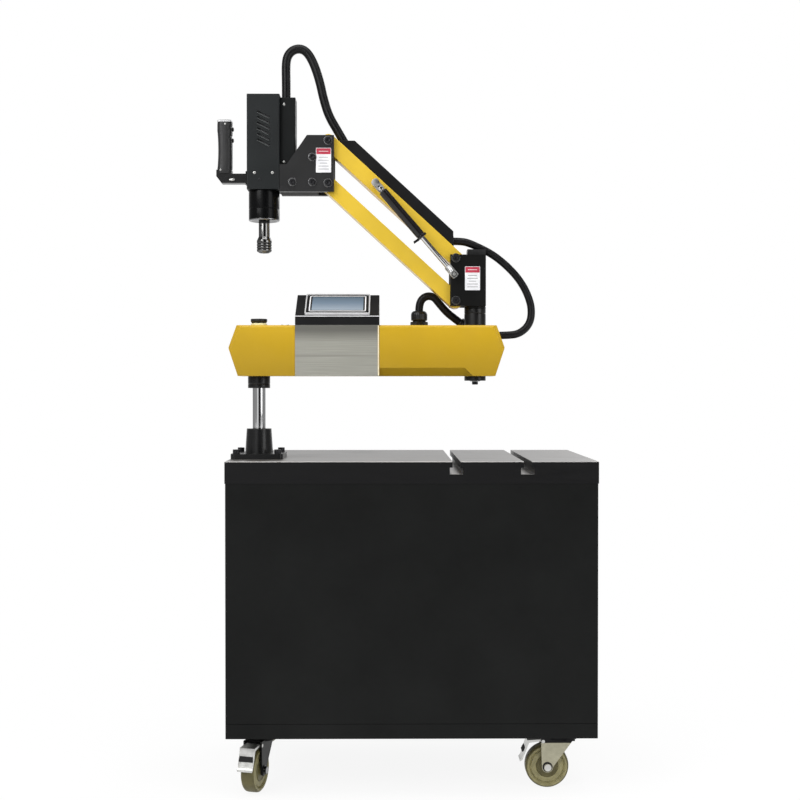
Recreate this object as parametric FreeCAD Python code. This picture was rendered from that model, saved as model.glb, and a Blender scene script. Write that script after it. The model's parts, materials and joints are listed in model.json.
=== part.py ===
import FreeCAD, Part
import math
import os

# Arm tapping machine on a wheeled cabinet. Millimetres, +X right seen from the front,
# +Y away from the front, +Z up, floor at zero, origin under the middle of the whole.

V = FreeCAD.Vector
os.makedirs("parts", exist_ok=True)

# Driving dimensions of the cabinet and its worktop
TABLE_WIDTH = 840.0
TABLE_DEPTH = 500.0
TABLE_HEIGHT = 757.0
TABLE_SHIFT = 17.0        # the worktop's middle from the origin, as the handle overhangs on the left
SLAB_THICKNESS = 50.0
CABINET_INSET = 1.0
CABINET_BOTTOM = 133.0
SHEET = 3.0
BASE_RAIL_HEIGHT = 33.0
BASE_PLATE = 6.0
SEAM_GAP = 1.0
SEAM_DEPTH = 1.5
EDGE_BREAK = 1.5
OVERRUN = 5.0             # how far a cutting tool runs past what it cuts
FIT = 0.05                # radial clearance of a running fit
SEAT_GAP = 0.3            # gap between faces that pass each other
TOUCH_GAP = 0.1           # air round a screw in its clearance hole

# T-slots in the worktop
SLOT_FROM_MIDDLE = 100.0
SLOT_PITCH = 160.0
SLOT_COUNT = 2
SLOT_MOUTH = 18.0
SLOT_MOUTH_DEPTH = 14.0
SLOT_UNDERCUT = 30.0
SLOT_UNDERCUT_DEPTH = 15.0

# Rear service panel and its screws
PANEL_MARGIN = 40.0
PANEL_THICKNESS = 2.0
PANEL_SCREW_INSET = 14.0
PANEL_SCREW_R = 3.0
PANEL_SCREW_HEAD_R = 5.5
PANEL_SCREW_HEAD = 2.6
LOUVRE_COUNT = 6
LOUVRE_LENGTH = 120.0
LOUVRE_HEIGHT = 6.0
LOUVRE_PITCH = 18.0

# Column
COLUMN_FROM_LEFT = 63.0
COLUMN_FROM_FRONT = 145.0
FLANGE_SIDE = 121.5
FLANGE_THICKNESS = 12.0
FLANGE_CORNER_R = 10.0
FLANGE_HOLE_SPACING = 96.0
BOLT_R = 5.0
BOLT_HEAD_R = 8.0
BOLT_HEAD = 10.0
BOLT_THREAD = 22.0
CONE_BASE_R = 32.5
CONE_TOP_R = 29.0
CONE_TOP = 69.0
COLUMN_R = 15.0
COLLAR_R = 26.0
COLLAR_HEIGHT = 27.7
CAP_LOW_R = 15.0
CAP_R = 19.5
CAP_NECK = 4.0
CAP_HEIGHT = 10.0
HUB_RING_FLANGE_R = 19.0
HUB_RING_RISE = 6.5
BUSH_WALL = 4.0
BUSH_LENGTH = 24.0

# Lower arm
ARM_REACH = 508.0         # column axis to elbow axis
ARM_UNDER = 192.0         # worktop to the underside of the arm
ARM_HEIGHT = 117.5
ARM_DEPTH = 120.0
ARM_WALL = 6.0
ARM_TIP = 65.0            # tip past the axis, at both ends
ARM_TOP_CORNER = 47.0
ARM_BOTTOM_CORNER = 43.0
ARM_TIP_HEIGHT = 66.0
ARM_SLOPE_BEVEL = 12.0
ARM_TOP_BEVEL = 5.0
UNDERCUT_HEIGHT = 19.0
UNDERCUT_DEPTH = 24.0
UNDERCUT_FROM_ELBOW = 9.0
POST_BORE_WALL = 5.0

# Control console on the lower arm
PANEL_WIDTH = 194.0
PANEL_SHARE = 1 / 3       # of the arm's free length, the part that lies left of the panel
SWITCH_ROOM = 41.8        # length kept free for the power switch between the column and the panel
FRONT_PANEL_THICKNESS = 1.5
CONSOLE_SKIRT = 20.0
CONSOLE_RISE = 75.0
CONSOLE_RUN = 85.0
CONSOLE_BACK = 12.0
CONSOLE_WALL = 2.5
DISPLAY_WIDTH = 151.0
DISPLAY_HEIGHT = 92.0
DISPLAY_PROUD = 6.0
DISPLAY_FRAME = 9.0
DISPLAY_SIDE_FRAME = 13.0
DISPLAY_BACK = 14.0
DISPLAY_BACK_INSET = 5.0
SCREEN_RECESS = 1.0
SCREEN_THICKNESS = 2.0

# Power switch on top of the lower arm
SWITCH_SHARE = 0.607      # of the way from the column's bush to the panel
SWITCH_LENGTH = 30.0
SWITCH_WIDTH = 22.0
SWITCH_RIM = 2.5
SWITCH_RIM_HEIGHT = 2.0
SWITCH_BODY_DEPTH = 20.0
ROCKER_GAP = 0.5
ROCKER_RISE = 3.5
ROCKER_DEPTH = 7.0
ROCKER_PIN_R = 1.2

# Drive and supply inside the lower arm
UNIT_WIDTH = 62.0
UNIT_HEIGHT = 70.0
UNIT_FROM_COLUMN = 120.0
UNIT_FROM_ELBOW = 64.0
UNIT_GAP = 24.0
UNIT_COUNT = 2
UNIT_FIN = 3.0
UNIT_FIN_DEPTH = 8.0
UNIT_FIN_COUNT = 9

# Elbow
ELBOW_HOUSING_R = 25.25
ELBOW_HOUSING_RISE = 40.5
ELBOW_BORE_R = 21.0
ELBOW_SHAFT_R = 12.5
ELBOW_BEARING_WIDTH = 14.0
ELBOW_DISC_R = 25.25
ELBOW_DISC = 10.5
ELBOW_BOLT_R = 7.0
ELBOW_BOLT_DROP = 9.0

# Rear bracket of the upper arm, measured from the elbow axis
BRACKET_LEFT = 60.0
BRACKET_RIGHT = 23.0
BRACKET_RISE = 5.0        # elbow housing to the bracket's underside
BRACKET_HEIGHT = 119.5
BRACKET_CHEEK = 12.0
LINK_WIDTH = 50.0
LINK_SIDE_GAP = 1.0
BRACKET_POST = 46.0       # solid part round the elbow axis, from the right edge
SADDLE_LEFT = 19.0
SADDLE_RIGHT = 24.0
SADDLE_WIDTH = 40.0
SADDLE_HEIGHT = 14.0
SADDLE_GAP = 1.0
PIVOT_FROM_ELBOW = 47.0
PIVOT_ABOVE_BRACKET = 13.0
PIVOT_SPACING = 98.6
PIVOT_R = 6.0
PIVOT_HEAD_R = 9.0
PIVOT_HEAD = 6.0
PIVOT_SOCKET_R = 4.0

# Parallel links of the upper arm
LINK_LENGTH = 402.3
LINK_ANGLE = 42.5         # degrees above the horizontal, towards -X
LINK_HEIGHT = 35.0
LINK_WALL = 3.0
LINK_EYE_R = 17.5
DUCT_HEIGHT = 26.0
DUCT_WIDTH = 44.0
DUCT_WALL = 2.0
DUCT_LOW_FROM_PIVOT = 5.0
DUCT_TOP_ABOVE_PIVOT = 2.8
DUCT_SEAT = 0.1

# Gas spring beside the upper link
GAS_TOP_FROM_PIVOT = 253.0
GAS_LOW_LEFT = 5.0        # lower anchor from the rear upper pivot
GAS_LOW_DROP = 39.6
GAS_R = 10.5
GAS_OFFSET = 15.0         # gas spring axis in front of the bracket's cheek
GAS_EYE_R = 8.0
GAS_EYE_HOLE_R = 4.0
GAS_EYE_THICKNESS = 10.0
GAS_BODY_FROM_TOP = 24.0
GAS_BODY_LENGTH = 142.0
GAS_NECK_R = 5.0
GAS_COLLAR_R = 13.0
GAS_COLLAR = 6.0
GAS_ROD_R = 5.5
GAS_ROD_INSIDE = 95.0
GAS_BORE_DEPTH = 125.0
GAS_STUD_HEAD_R = 6.5
GAS_STUD_HEAD = 4.0

# Front bracket, measured from the front pivots
FRONT_RIGHT = 13.5
FRONT_TOP = 12.5
FRONT_BOTTOM = 20.0
FRONT_LEFT = 112.5
FRONT_SLOPE_TOP = 49.0
FRONT_SLOPE_LOW_X = 96.0
FRONT_SLOPE_LOW_DROP = 55.5
FRONT_CHEEK = 12.0
BLOCK_FROM_PIVOT = 25.0
BLOCK_STEP_FROM_PIVOT = 62.0
BLOCK_LOW_RISE = 53.0
BLOCK_HIGH_RISE = 95.0
CLAMP_BOLTS = ((82.5, 22.0), (36.5, 22.0), (36.5, 80.0))
CLAMP_BOLT_R = 5.0
CLAMP_HEAD_R = 8.0
CLAMP_HEAD = 6.0

# Tapping head
HEAD_WIDTH = 76.0
HEAD_DEPTH = 80.0
HEAD_HEIGHT = 220.0
HEAD_WALL = 3.0
HEAD_TOP_ABOVE_PIVOT = 107.0
HEAD_CORNER_R = 3.0
COVER_WIDTH = 36.0
COVER_DEPTH = 50.0
COVER_TOP_DROP = 5.0
COVER_WALL = 2.5
VENT_COUNT = 6
VENT_LENGTH = 33.0
VENT_HEIGHT = 4.0
VENT_PITCH = 12.9
VENT_TILT = 27.0
VENT_TOP_DROP = 47.7
VENT_FROM_LEFT = 39.3
SPINDLE_HOUSING_R = 36.0
SPINDLE_HOUSING_DROP = 70.0
SPINDLE_HOUSING_INSIDE = 40.0
SPINDLE_FROM_HEAD_MIDDLE = 1.3
SPINDLE_GROOVE = 1.0
SPINDLE_GROOVE_RISE = 27.0
MOTOR_SIDE = 60.0
MOTOR_LENGTH = 120.0
GEARBOX_R = 30.0
SPINDLE_R = 12.0
CHUCK_NECK_R = 14.3
CHUCK_LENGTH = 62.0
CHUCK_NOSE_R = 13.0
CHUCK_BORE_R = 9.5
CHUCK_BORE_DEPTH = 45.0
CHUCK_HOLE_R = 2.5
CHUCK_HOLE_DROP = 10.0
SLEEVE_R = 17.3
SLEEVE_LENGTH = 30.0
SLEEVE_TRAVEL = 6.0
SLEEVE_NOSE_GAP = 2.0
SLEEVE_END_GAP = 2.91
SLEEVE_GROOVES = 3
SLEEVE_GROOVE = 2.4
SLEEVE_GROOVE_DEPTH = 1.6
SLEEVE_GROOVE_PITCH = 6.2

# Handle of the head
GRIP_FROM_HEAD = 56.0
GRIP_WIDTH = 36.0
GRIP_LENGTH = 118.0
GRIP_ABOVE_HEAD_BOTTOM = 49.0
GRIP_WAIST = 3.0
GRIP_WAIST_SHARES = (0.25, 0.6, 0.95)   # up the grip: start, middle and end of the waist
GRIP_BORE_R = 7.0
HANDLE_BAR_HEIGHT = 22.0
HANDLE_BAR_THICKNESS = 26.0
HANDLE_BAR_RISE = 18.0
HANDLE_SLANT = 12.0
HANDLE_STEM_R = 6.9
HANDLE_PAD = 5.0
BUTTON_R = 5.0
BUTTON_PROUD = 4.0
BUTTON_POCKET = 8.5
BUTTON_TRAVEL = 3.0
BUTTON_DROPS = (22.0, 48.0)

# Hoses
HEAD_HOSE_D = 21.0
LOOP_HOSE_D = 18.0
GLAND_HOSE_D = 19.0
GLAND_R = 19.5
GLAND_HEX_R = 21.0
GLAND_HEX = 12.0
GLAND_HEIGHT = 38.0
GLAND_FROM_ELBOW = 130.6
GLAND_BEHIND = 39.0
GLAND_LOW_LENGTH = 34.0
GLAND_LOW_R = 13.0
GLAND_LOW_FROM_ELBOW = 34.0
GLAND_LOW_RISE = 11.0     # where the hose goes in, above the arm's top
GLAND_THREAD = 12.0
GLAND_THREAD_R = 13.0
END_GLAND_LENGTH = 20.0
END_GLAND_R = 12.5
END_GLAND_RISE = 96.0
END_GLAND_FROM_ELBOW = 55.0
HEAD_HOSE_FROM_HEAD = 12.8
DUCT_EXIT_FROM_PIVOT = 35.8
BRIDGE_ABOVE_PIVOT = 42.4
SADDLE_PASS_RIGHT = 2.5   # where the hose crosses the saddle, from the elbow axis and the bracket's top
SADDLE_PASS_RISE = 23.0

# Casters
CASTER_FROM_SIDE = 72.0
CASTER_FROM_EDGE = 85.0
WHEEL_R = 50.0
WHEEL_WIDTH = 32.0
WHEEL_HUB_R = 24.0
WHEEL_RECESS = 3.0
WHEEL_GROOVE_R = 37.0
WHEEL_GROOVE = 3.0
WHEEL_BORE_R = 6.0
WHEEL_EDGE = 4.0
CASTER_TRAIL = 35.0
CASTER_PLATE_LENGTH = 95.0
CASTER_PLATE_WIDTH = 67.0
CASTER_PLATE = 5.0
CROWN_R = 36.0
CROWN_HEIGHT = 10.0
CROWN_GAP = 0.5
KING_PIN_R = 6.0
FORK_CROWN = 8.0
FORK_LEG = 4.0
FORK_LEG_GAP = 2.5
FORK_LEG_END_R = 13.0
AXLE_R = 5.9
AXLE_NUT_R = 8.5
AXLE_NUT = 7.0
PEDAL_WIDTH = 36.0
PEDAL_THICKNESS = 4.0
PEDAL_PIN_R = 4.0
PEDAL_PIN_OUT = 9.0
PEDAL_OUT = 9.0
PEDAL_DROP = 47.0
FORK_EAR = 14.0
FORK_BRIDGE_OUT = 4.0
CASTERS = {"fl": (-1, -1, -106.0), "fr": (1, -1, 180.0), "rl": (-1, 1, 150.0), "rr": (1, 1, 62.0)}
BRAKED = ("fl", "fr")

# Places worked out from the sizes above
TABLE_LEFT = TABLE_SHIFT - TABLE_WIDTH / 2
TABLE_RIGHT = TABLE_SHIFT + TABLE_WIDTH / 2
TABLE_FRONT = -TABLE_DEPTH / 2
TABLE_BACK = TABLE_DEPTH / 2
SLAB_BOTTOM = TABLE_HEIGHT - SLAB_THICKNESS
CABINET_LEFT = TABLE_LEFT + CABINET_INSET
CABINET_RIGHT = TABLE_RIGHT - CABINET_INSET
CABINET_FRONT = TABLE_FRONT + CABINET_INSET
CABINET_BACK = TABLE_BACK - CABINET_INSET
BASE_TOP = CABINET_BOTTOM + BASE_RAIL_HEIGHT
COLUMN_X = TABLE_LEFT + COLUMN_FROM_LEFT
AXIS_Y = TABLE_FRONT + COLUMN_FROM_FRONT
ELBOW_X = COLUMN_X + ARM_REACH
ARM_BOTTOM = TABLE_HEIGHT + ARM_UNDER
ARM_TOP = ARM_BOTTOM + ARM_HEIGHT
ARM_FRONT = AXIS_Y - ARM_DEPTH / 2
ARM_BACK = AXIS_Y + ARM_DEPTH / 2
ARM_FREE = ARM_REACH - SWITCH_ROOM - PANEL_WIDTH - GLAND_FROM_ELBOW
PANEL_X0 = COLUMN_X + SWITCH_ROOM + ARM_FREE * PANEL_SHARE
PANEL_X1 = PANEL_X0 + PANEL_WIDTH
BUSH_EDGE_X = COLUMN_X + HUB_RING_FLANGE_R
SWITCH_X = BUSH_EDGE_X + (PANEL_X0 - BUSH_EDGE_X) * SWITCH_SHARE
UNIT_LENGTH = (ARM_REACH - UNIT_FROM_COLUMN - UNIT_FROM_ELBOW - UNIT_GAP * (UNIT_COUNT - 1)) / UNIT_COUNT
ELBOW_TOP = ARM_TOP + ELBOW_HOUSING_RISE
BRACKET_BOTTOM = ELBOW_TOP + BRACKET_RISE
BRACKET_TOP = BRACKET_BOTTOM + BRACKET_HEIGHT
CHEEK_INNER = LINK_WIDTH / 2 + LINK_SIDE_GAP
CHEEK_OUTER = CHEEK_INNER + BRACKET_CHEEK
REAR_X = ELBOW_X - PIVOT_FROM_ELBOW
REAR_LOW_Z = BRACKET_BOTTOM + PIVOT_ABOVE_BRACKET
REAR_UP_Z = REAR_LOW_Z + PIVOT_SPACING
ALONG = V(-math.cos(math.radians(LINK_ANGLE)), 0, math.sin(math.radians(LINK_ANGLE)))
ABOVE = V(math.sin(math.radians(LINK_ANGLE)), 0, math.cos(math.radians(LINK_ANGLE)))
FRONT_X = REAR_X + LINK_LENGTH * ALONG.x
FRONT_UP_Z = REAR_UP_Z + LINK_LENGTH * ALONG.z
FRONT_LOW_Z = REAR_LOW_Z + LINK_LENGTH * ALONG.z
GAS_Y = AXIS_Y - CHEEK_OUTER - GAS_OFFSET
HEAD_RIGHT = FRONT_X - FRONT_LEFT
HEAD_LEFT = HEAD_RIGHT - HEAD_WIDTH
HEAD_TOP = FRONT_UP_Z + HEAD_TOP_ABOVE_PIVOT
HEAD_BOTTOM = HEAD_TOP - HEAD_HEIGHT
SPINDLE_X = HEAD_LEFT + HEAD_WIDTH / 2 - SPINDLE_FROM_HEAD_MIDDLE
HOUSING_BOTTOM = HEAD_BOTTOM - SPINDLE_HOUSING_DROP
COVER_TOP = HEAD_TOP - COVER_TOP_DROP
DUCT_END_X = REAR_X - DUCT_LOW_FROM_PIVOT
DUCT_TOP_Z = FRONT_UP_Z + DUCT_TOP_ABOVE_PIVOT

# Ends of the free hoses
HEAD_HOSE_START = V(HEAD_RIGHT + HEAD_HOSE_FROM_HEAD, AXIS_Y, COVER_TOP + TOUCH_GAP)
HEAD_HOSE_END = V(FRONT_X + DUCT_EXIT_FROM_PIVOT, AXIS_Y, DUCT_TOP_Z + TOUCH_GAP)
BRIDGE_HOSE_START = V(DUCT_END_X + TOUCH_GAP, AXIS_Y, REAR_UP_Z + BRIDGE_ABOVE_PIVOT)
SADDLE_PASS = V(ELBOW_X + SADDLE_PASS_RIGHT, AXIS_Y, BRACKET_TOP + SADDLE_PASS_RISE)
LOOP_HOSE_END = V(ELBOW_X + END_GLAND_FROM_ELBOW, AXIS_Y, ARM_BOTTOM + END_GLAND_RISE)
GLAND_TOP = V(ELBOW_X - GLAND_FROM_ELBOW, AXIS_Y + GLAND_BEHIND, ARM_TOP + GLAND_HEIGHT)
GLAND_HOSE_END = V(ELBOW_X - GLAND_LOW_FROM_ELBOW, AXIS_Y + GLAND_BEHIND, ARM_TOP + GLAND_LOW_RISE)

# Lie of the free hoses, chosen by hand: x and z from each hose's start
HEAD_HOSE_LIE = [(0, 0), (0, 36.5), (-0.9, 80.5), (2.7, 102.5), (15.8, 116.5), (33.7, 119.7), (49.7, 110.7),
                 (65, 84), (78.5, 43), (87, 3), (99.5, -38), (121.5, -75), (135.5, -99.3)]
BRIDGE_HOSE_LIE = [(0, 0), (17.9, 0), (36.9, -3.5), (54.4, -11.5)]
LOOP_HOSE_LIE = [(0, 0), (17.5, -8), (42.5, -22), (69, -43), (97, -71.5), (118.5, -105.5),
                 (131.5, -144.5), (127.5, -182.5), (102, -206.5), (70, -209.5), (52.5, -209.5)]
GLAND_HOSE_LIE = [(0, 0), (0, 19.5), (14.1, 35.5), (34.1, 35), (47.6, 18), (65.6, -3),
                  (82.6, -16.5), (96.6, -27)]
HOSE_END_POINTS = 2       # points at each end of a lie that keep to that end


def route_between(start, lie, end):
    """Points of a hose: the points at each end keep to it, and those between share the difference."""
    points = [start + V(x, 0, z) for x, z in lie]
    shift = end - points[-1]
    first = HOSE_END_POINTS - 1
    steps = len(points) - HOSE_END_POINTS - first
    return [p + shift * (max(0, min(steps, k - first)) / steps) for k, p in enumerate(points)]


HEAD_HOSE_ROUTE = route_between(HEAD_HOSE_START, HEAD_HOSE_LIE, HEAD_HOSE_END)
BRIDGE_HOSE_ROUTE = route_between(BRIDGE_HOSE_START, BRIDGE_HOSE_LIE, SADDLE_PASS)
LOOP_HOSE_ROUTE = route_between(SADDLE_PASS, LOOP_HOSE_LIE, LOOP_HOSE_END)
GLAND_HOSE_ROUTE = route_between(GLAND_TOP, GLAND_HOSE_LIE, GLAND_HOSE_END)


# Shape helpers
def box(x0, x1, y0, y1, z0, z1):
    return Part.makeBox(x1 - x0, y1 - y0, z1 - z0, V(x0, y0, z0))


def cyl(r, x, y, z0, z1):
    return Part.makeCylinder(r, z1 - z0, V(x, y, z0))


def cyl_y(r, x, z, y0, y1):
    return Part.makeCylinder(r, y1 - y0, V(x, y0, z), V(0, 1, 0))


def cyl_x(r, y, z, x0, x1):
    return Part.makeCylinder(r, x1 - x0, V(x0, y, z), V(1, 0, 0))


def cone(r0, r1, x, y, z0, z1):
    return Part.makeCone(r0, r1, z1 - z0, V(x, y, z0))


def fuse(first, *rest):
    return first.multiFuse(list(rest)).removeSplitter() if rest else first


def polygon(points):
    return Part.Face(Part.makePolygon(points + [points[0]]))


def prism_y(points, y0, y1):
    return polygon([V(x, y0, z) for x, z in points]).extrude(V(0, y1 - y0, 0))


def prism_x(points, x0, x1):
    return polygon([V(x0, y, z) for y, z in points]).extrude(V(x1 - x0, 0, 0))


def middle(edge):
    return edge.valueAt((edge.FirstParameter + edge.LastParameter) / 2)


def edges_where(shape, test):
    return [e for e in shape.Edges if test(e, middle(e))]


def upright_edges(shape):
    return edges_where(shape, lambda e, m: len(e.Vertexes) == 2 and abs(
        e.Vertexes[0].Z - e.Vertexes[1].Z) > e.Length / 2)


def hexagon(r, x, y, z0, z1):
    turns = [math.radians(60 * k) for k in range(6)]
    face = polygon([V(x + r * math.cos(t), y + r * math.sin(t), z0) for t in turns])
    return face.extrude(V(0, 0, z1 - z0))


def socket_screw(x, y, z, r, thread, head_r, head):
    """A socket cap screw that stands on its head's underside at z, thread down."""
    body = fuse(cyl(r, x, y, z - thread, z), cyl(head_r, x, y, z, z + head))
    return body.cut(hexagon(head_r / 2, x, y, z + head / 2, z + head + head))


def save(name, shape):
    shape = Part.makeCompound(shape) if isinstance(shape, list) else shape
    bad = "" if shape.isValid() else " NOT VALID"
    print(name, len(shape.Solids), "solid(s)", round(shape.Volume / 1000.0, 1), "cm3" + bad)
    shape.exportStep("parts/" + name + ".step")


# Worktop and cabinet
def worktop():
    slab = box(TABLE_LEFT, TABLE_RIGHT, TABLE_FRONT, TABLE_BACK, SLAB_BOTTOM, TABLE_HEIGHT)
    slab = slab.makeChamfer(EDGE_BREAK, edges_where(slab, lambda e, m: m.z > TABLE_HEIGHT - FIT))
    for k in range(SLOT_COUNT):
        x = TABLE_SHIFT + SLOT_FROM_MIDDLE + k * SLOT_PITCH
        neck = TABLE_HEIGHT - SLOT_MOUTH_DEPTH
        ends = (TABLE_FRONT - OVERRUN, TABLE_BACK + OVERRUN)
        slab = slab.cut(box(x - SLOT_MOUTH / 2, x + SLOT_MOUTH / 2, *ends, neck, TABLE_HEIGHT + OVERRUN))
        slab = slab.cut(box(x - SLOT_UNDERCUT / 2, x + SLOT_UNDERCUT / 2, *ends,
                            neck - SLOT_UNDERCUT_DEPTH, neck))
    for x, y in flange_holes():
        slab = slab.cut(cyl(BOLT_R + TOUCH_GAP, x, y, flange_bolt_end() - TOUCH_GAP, TABLE_HEIGHT + OVERRUN))
    return slab


def flange_holes():
    half = FLANGE_HOLE_SPACING / 2
    return [(COLUMN_X + i * half, AXIS_Y + j * half) for i in (-1, 1) for j in (-1, 1)]


def flange_bolt_end():
    return TABLE_HEIGHT - BOLT_THREAD


def panel_limits():
    return (CABINET_LEFT + PANEL_MARGIN, CABINET_RIGHT - PANEL_MARGIN,
            BASE_TOP + PANEL_MARGIN, SLAB_BOTTOM - PANEL_MARGIN)


def cabinet_shell():
    outer = box(CABINET_LEFT, CABINET_RIGHT, CABINET_FRONT, CABINET_BACK,
                BASE_TOP + SEAM_GAP, SLAB_BOTTOM)
    outer = outer.makeFillet(SHEET, upright_edges(outer))
    inner = box(CABINET_LEFT + SHEET, CABINET_RIGHT - SHEET, CABINET_FRONT + SHEET,
                CABINET_BACK - SHEET, BASE_TOP - OVERRUN, SLAB_BOTTOM - SHEET)
    x0, x1, z0, z1 = panel_limits()
    lap = PANEL_SCREW_INSET * 2
    hatch = box(x0 + lap, x1 - lap, CABINET_BACK - SHEET - OVERRUN, CABINET_BACK + OVERRUN,
                z0 + lap, z1 - lap)
    shell = outer.cut(inner).cut(hatch)
    for x, z in panel_screw_places():
        shell = shell.cut(cyl_y(PANEL_SCREW_R + TOUCH_GAP, x, z, CABINET_BACK - SHEET - OVERRUN,
                                CABINET_BACK + OVERRUN))
    return shell


def base_frame():
    """A tray under the cabinet: a sheet floor with an upstanding rail that shows as a band."""
    rail = box(CABINET_LEFT, CABINET_RIGHT, CABINET_FRONT, CABINET_BACK, CABINET_BOTTOM,
               BASE_TOP + SEAM_GAP)
    rail = rail.makeFillet(SHEET, upright_edges(rail))
    rail = rail.cut(box(CABINET_LEFT + SHEET, CABINET_RIGHT - SHEET, CABINET_FRONT + SHEET,
                        CABINET_BACK - SHEET, CABINET_BOTTOM + BASE_PLATE, BASE_TOP + OVERRUN))
    band = box(CABINET_LEFT - OVERRUN, CABINET_RIGHT + OVERRUN, CABINET_FRONT - OVERRUN,
               CABINET_BACK + OVERRUN, BASE_TOP, BASE_TOP + SEAM_GAP)
    core = box(CABINET_LEFT + SEAM_DEPTH, CABINET_RIGHT - SEAM_DEPTH, CABINET_FRONT + SEAM_DEPTH,
               CABINET_BACK - SEAM_DEPTH, BASE_TOP, BASE_TOP + SEAM_GAP)
    return rail.cut(band.cut(core))


def panel_screw_places():
    x0, x1, z0, z1 = panel_limits()
    d = PANEL_SCREW_INSET
    across = (x0 + d, (x0 + x1) / 2, x1 - d)
    return [(x, z) for x in across for z in (z0 + d, z1 - d)]


def rear_panel():
    x0, x1, z0, z1 = panel_limits()
    plate = box(x0, x1, CABINET_BACK, CABINET_BACK + PANEL_THICKNESS, z0, z1)
    plate = plate.makeFillet(PANEL_SCREW_INSET / 2, edges_where(
        plate, lambda e, m: abs(e.Vertexes[0].Y - e.Vertexes[1].Y) > PANEL_THICKNESS / 2))
    top = z1 - LOUVRE_PITCH * 3
    for side in (-1, 1):
        x = (x0 + x1) / 2 + side * (x1 - x0) / 4
        for k in range(LOUVRE_COUNT):
            z = top - k * LOUVRE_PITCH
            slot = box(x - LOUVRE_LENGTH / 2, x + LOUVRE_LENGTH / 2, CABINET_BACK - OVERRUN,
                       CABINET_BACK + OVERRUN, z - LOUVRE_HEIGHT / 2, z + LOUVRE_HEIGHT / 2)
            plate = plate.cut(slot)
    for x, z in panel_screw_places():
        plate = plate.cut(cyl_y(PANEL_SCREW_R + TOUCH_GAP, x, z, CABINET_BACK - OVERRUN,
                                CABINET_BACK + OVERRUN))
    return plate


def panel_screws():
    face = CABINET_BACK + PANEL_THICKNESS
    screws = []
    for x, z in panel_screw_places():
        shank = cyl_y(PANEL_SCREW_R, x, z, CABINET_BACK - SHEET, face)
        head = cyl_y(PANEL_SCREW_HEAD_R, x, z, face, face + PANEL_SCREW_HEAD)
        socket = cyl_y(PANEL_SCREW_R / 2, x, z, face + PANEL_SCREW_HEAD / 2, face + OVERRUN)
        screws.append(fuse(shank, head).cut(socket))
    return screws


# Column
def column_flange():
    half = FLANGE_SIDE / 2
    plate = box(COLUMN_X - half, COLUMN_X + half, AXIS_Y - half, AXIS_Y + half, TABLE_HEIGHT,
                TABLE_HEIGHT + FLANGE_THICKNESS)
    plate = plate.makeFillet(FLANGE_CORNER_R, upright_edges(plate))
    boss = cone(CONE_BASE_R, CONE_TOP_R, COLUMN_X, AXIS_Y, TABLE_HEIGHT + FLANGE_THICKNESS,
                TABLE_HEIGHT + CONE_TOP)
    foot = fuse(plate, boss)
    foot = foot.cut(cyl(COLUMN_R, COLUMN_X, AXIS_Y, TABLE_HEIGHT, TABLE_HEIGHT + CONE_TOP + OVERRUN))
    for x, y in flange_holes():
        foot = foot.cut(cyl(BOLT_R + TOUCH_GAP, x, y, TABLE_HEIGHT - OVERRUN,
                            TABLE_HEIGHT + FLANGE_THICKNESS + OVERRUN))
    return foot


def flange_bolts():
    seat = TABLE_HEIGHT + FLANGE_THICKNESS
    thread = FLANGE_THICKNESS + BOLT_THREAD
    return [socket_screw(x, y, seat, BOLT_R, thread, BOLT_HEAD_R, BOLT_HEAD) for x, y in flange_holes()]


def column_shaft():
    top = ARM_TOP + HUB_RING_RISE + CAP_NECK
    return cyl(COLUMN_R, COLUMN_X, AXIS_Y, TABLE_HEIGHT, top)


def column_collar():
    """The thrust collar that the arm turns on, split and clamped on the shaft."""
    top = ARM_BOTTOM - SEAT_GAP
    ring = cyl(COLLAR_R, COLUMN_X, AXIS_Y, top - COLLAR_HEIGHT, top)
    ring = ring.makeChamfer(EDGE_BREAK, edges_where(ring, lambda e, m: len(e.Vertexes) == 1))
    return ring.cut(cyl(COLUMN_R, COLUMN_X, AXIS_Y, ARM_BOTTOM - ARM_UNDER / 2, ARM_BOTTOM + OVERRUN))


def column_cap():
    low = ARM_TOP + HUB_RING_RISE + SEAT_GAP
    skirt = cone(CAP_LOW_R + EDGE_BREAK, CAP_R, COLUMN_X, AXIS_Y, low, low + CAP_NECK)
    disc = cyl(CAP_R, COLUMN_X, AXIS_Y, low + CAP_NECK, low + CAP_HEIGHT)
    disc = disc.makeChamfer(EDGE_BREAK, edges_where(
        disc, lambda e, m: len(e.Vertexes) == 1 and m.z > low + CAP_HEIGHT - FIT))
    return fuse(skirt, disc).cut(cyl(COLUMN_R, COLUMN_X, AXIS_Y, low - OVERRUN,
                                     ARM_TOP + HUB_RING_RISE + CAP_NECK))


# Lower arm
def arm_outline():
    left, right = COLUMN_X, ELBOW_X
    return [(left - ARM_TOP_CORNER, ARM_TOP), (left - ARM_TIP, ARM_BOTTOM + ARM_TIP_HEIGHT),
            (left - ARM_BOTTOM_CORNER, ARM_BOTTOM), (right + ARM_BOTTOM_CORNER, ARM_BOTTOM),
            (right + ARM_TIP, ARM_BOTTOM + ARM_TIP_HEIGHT), (right + ARM_TOP_CORNER, ARM_TOP)]


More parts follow.
